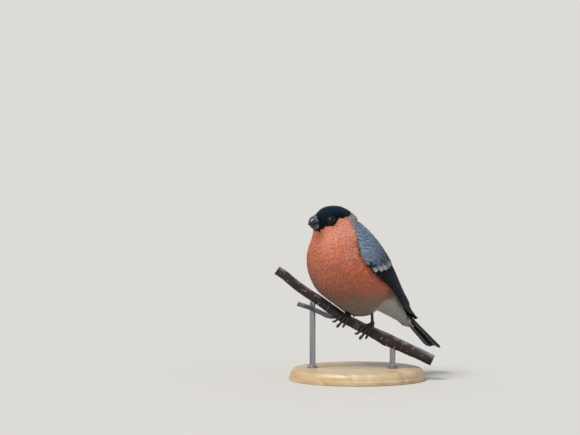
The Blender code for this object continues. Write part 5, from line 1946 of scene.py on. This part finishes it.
def mapleMaterial():
    # Maple, turned, sanded and lacquered: pale, close-grained, with a soft satin shine.
    made, tree, shader = newMaterial(
        "turned_maple", {"Roughness": 0.42, "IOR": 1.5, "Coat Weight": 0.2, "Coat Roughness": 0.3}
    )
    place = addNode(tree, "TexCoord")
    stretch = addNode(
        tree, "Mapping", {"Vector": place.outputs["Object"], "Scale": patternScale(55.6, 7.7, 7.7)}
    )
    bend = addNode(
        tree, "TexNoise",
        {"Vector": stretch.outputs["Vector"], "Scale": 1.0, "Detail": 4.0, "Distortion": 0.6},
    )
    fleck = addNode(
        tree, "Mapping", {"Vector": place.outputs["Object"], "Scale": patternScale(4.0, 0.455, 0.455)}
    )
    pores = addNode(tree, "TexNoise", {"Vector": fleck.outputs["Vector"], "Scale": 1.0, "Detail": 2.0})
    ramp = addNode(
        tree, "ValToRGB", {"Fac": bend.outputs["Fac"]},
        stops=((0.3, "b99a70"), (0.7, "d9c4a0"), (0.5, "cbb188")),
    )
    light = addNode(
        tree, "MapRange",
        {"Value": pores.outputs["Fac"], "From Min": 0.3, "From Max": 0.7, "To Min": 0.9, "To Max": 1.05},
    )
    tone = addNode(
        tree, "VectorMath", {0: ramp.outputs["Color"], "Scale": light.outputs["Result"]}, operation="SCALE"
    )
    bump = addNode(tree, "Bump", {"Height": pores.outputs["Fac"], "Distance": 0.03 * mm, "Strength": 0.4})
    dress(tree, shader, tone.outputs["Vector"], bump)
    return made


def steelMaterial():
    # Stainless steel, turned and satin finished: fine rings round the rod blur its highlight.
    made, tree, shader = newMaterial("satin_turned_steel", {"Metallic": 1.0, "Roughness": 0.32})
    place = addNode(tree, "TexCoord")
    stretch = addNode(
        tree, "Mapping", {"Vector": place.outputs["Object"], "Scale": patternScale(5.0, 5.0, 0.167)}
    )
    rings = addNode(tree, "TexNoise", {"Vector": stretch.outputs["Vector"], "Scale": 1.0, "Detail": 3.0})
    ramp = addNode(tree, "ValToRGB", {"Fac": rings.outputs["Fac"]}, stops=((0.3, "8e8f92"), (0.7, "b4b5b7")))
    bump = addNode(tree, "Bump", {"Height": rings.outputs["Fac"], "Distance": 0.01 * mm, "Strength": 0.5})
    dress(tree, shader, ramp.outputs["Color"], bump)
    return made


def turnedPiece(name, profile, middle, sides, material):  # a lathe shape from (radius, height)
    turns = turnsRound(sides)
    radius, height = np.array(profile).T[..., None]
    rings = np.stack(
        [middle[0] + radius * np.cos(turns), middle[1] + radius * np.sin(turns), height + 0 * turns], axis=-1
    )
    made = loftPiece(name, rings, material)
    made.data.set_sharp_from_angle(angle=math.radians(40))
    return made


def makeBase(floorHigh, material):
    radius, thick, shoulder = stand["radius"], stand["thick"], stand["shoulder"]
    profile = [(radius * share, floorHigh) for share in (0.3, 0.7)]
    profile += [(radius - inset, floorHigh + high) for inset, high in stand["side"]]
    inset, low = stand["side"][-1]
    for turn in np.linspace(0, math.pi / 2, 9):
        reach = radius - inset - shoulder * (1 - math.cos(turn))
        profile.append((reach, floorHigh + low + (thick - low) * math.sin(turn)))
    profile += [(radius * share, floorHigh + thick) for share in (0.8, 0.55, 0.3, 0.1)]
    base = turnedPiece("turned_base", profile, -perchPoint, stand["sides"], material)
    settle(base, "maple", "stand_base")


def makeRod(number, run, low, material):  # from the base's top at low into the bark's underside
    middle, thickness, along = perchAt(run)
    slope = abs(along[2]) / math.hypot(along[0], along[1])
    top = middle[2] - thickness * math.hypot(1.0, slope) * stand["rodIntoBark"]
    rod, collar, rim = stand["rodRadius"], stand["collarRadius"], stand["collarEase"]
    high = low + stand["collarHigh"]
    profile = [
        (collar - rim, low - stand["collarSunk"]), (collar, low), (collar, high - rim), (collar - rim, high),
        (rod + 0.05, high), (rod, high + 0.1), (rod, (low + top) / 2), (rod, top),
    ]
    made = turnedPiece(f"steel_rod_{number}", profile, middle, stand["rodSides"], material)
    settle(made, "steel", f"stand_rod_{number}")


def makeStand():
    floorHigh = -perchPoint[2]
    makeBase(floorHigh, mapleMaterial())
    steel = steelMaterial()
    for number, run in enumerate(stand["rodPlaces"], 1):
        makeRod(number, run, floorHigh + stand["thick"], steel)


makeStand()
print("stand made")


# Studio: a pale floor, even light from all round and a broad key from the upper left.
studio = {
    "floorRadius": 45.0,  # metres, so that it fills the view of a long lens
    "floorTones": ("cfcdc8", "d1cfca"),
    "world": (0.90, 0.94, 1.0),
    "worldStrength": 0.48,
    "lamps": (  # name, strength, softness, the way it shines and its tint
        ("key", 2.7, math.radians(28), (-0.08, 0.70, -1.0), (1.0, 0.97, 0.93)),
        ("fill", 0.3, math.radians(60), (-1.0, -0.2, -0.35), (0.93, 0.96, 1.0)),
    ),
    "cameraAway": 3.0,
    "azimuth": math.radians(52),
    "elevation": math.radians(4),
    "aim": (-42.2, 70.7),  # mm to the right of the perch's middle and above it
    "lens": 276.0,
    "sensor": 36.0,
    "farthest": 200.0,
    "floorRings": (0.05, 0.3, 1.0, 4.0, 15.0),
    "floorSides": 96,
    "floorSunk": 0.02,  # mm under the base, so that they never fight for one height
}


def makeFloor():
    # Emulsion on board, rolled matt: no shine, a faint unevenness.
    made, tree, shader = newMaterial("matt_painted_floor", {"Roughness": 0.85})
    place = addNode(tree, "TexCoord")
    cloud = addNode(
        tree, "TexNoise", {"Vector": place.outputs["Object"], "Scale": patternScale(16.7), "Detail": 2.0}
    )
    ramp = addNode(
        tree, "ValToRGB", {"Fac": cloud.outputs["Fac"]},
        stops=((0.3, studio["floorTones"][0]), (0.7, studio["floorTones"][1])),
    )
    tree.links.new(ramp.outputs["Color"], shader.inputs["Base Color"])
    sides = studio["floorSides"]
    turns = turnsRound(sides)
    radii = np.array((*studio["floorRings"], studio["floorRadius"]))[:, None] / mm
    rings = np.stack(
        [radii * np.cos(turns), radii * np.sin(turns), 0 * radii * turns - studio["floorSunk"]], axis=-1
    ) - perchPoint
    points = np.vstack([rings.reshape(-1, 3), rings[0].mean(axis=0)])
    one = np.arange(sides)
    fan = np.stack([one, (one + 1) % sides, np.full(sides, len(points) - 1)], axis=1)
    floor = makePiece("floor", points, [gridFaces(len(rings), sides, True), fan], made)
    fixNormals(floor)


def makeLight():
    world = bpy.data.worlds.new("studio")
    bpy.context.scene.world = world
    world.use_nodes = True
    sky = world.node_tree.nodes["Background"]
    sky.inputs["Color"].default_value = (*studio["world"], 1.0)
    sky.inputs["Strength"].default_value = studio["worldStrength"]
    for name, power, softness, way, tint in studio["lamps"]:
        lamp = bpy.data.lights.new(name, "SUN")
        lamp.energy = power
        lamp.angle = softness
        lamp.color = tint
        made = bpy.data.objects.new(name, lamp)
        made.rotation_euler = Vector(way).to_track_quat("-Z", "Y").to_euler()
        bpy.context.scene.collection.objects.link(made)


def makeCamera():
    azimuth, elevation = studio["azimuth"], studio["elevation"]
    level = math.cos(elevation)
    back = Vector((math.sin(azimuth) * level, -math.cos(azimuth) * level, math.sin(elevation)))
    right = Vector((math.cos(azimuth), math.sin(azimuth), 0.0))
    up = back.cross(right)
    aside, above = studio["aim"]
    target = Vector(perchPoint * mm) + right * aside * mm + up * above * mm
    lens = bpy.data.cameras.new("camera")
    lens.lens = studio["lens"]
    lens.sensor_width = studio["sensor"]
    lens.clip_end = studio["farthest"]
    camera = bpy.data.objects.new("camera", lens)
    turn = Matrix((right, up, back)).transposed().to_4x4()
    camera.matrix_world = Matrix.Translation(target + back * studio["cameraAway"]) @ turn
    bpy.context.scene.collection.objects.link(camera)
    bpy.context.scene.camera = camera


makeFloor()
makeLight()
makeCamera()
bpy.context.scene.view_settings.view_transform = "Standard"
print("studio ready")
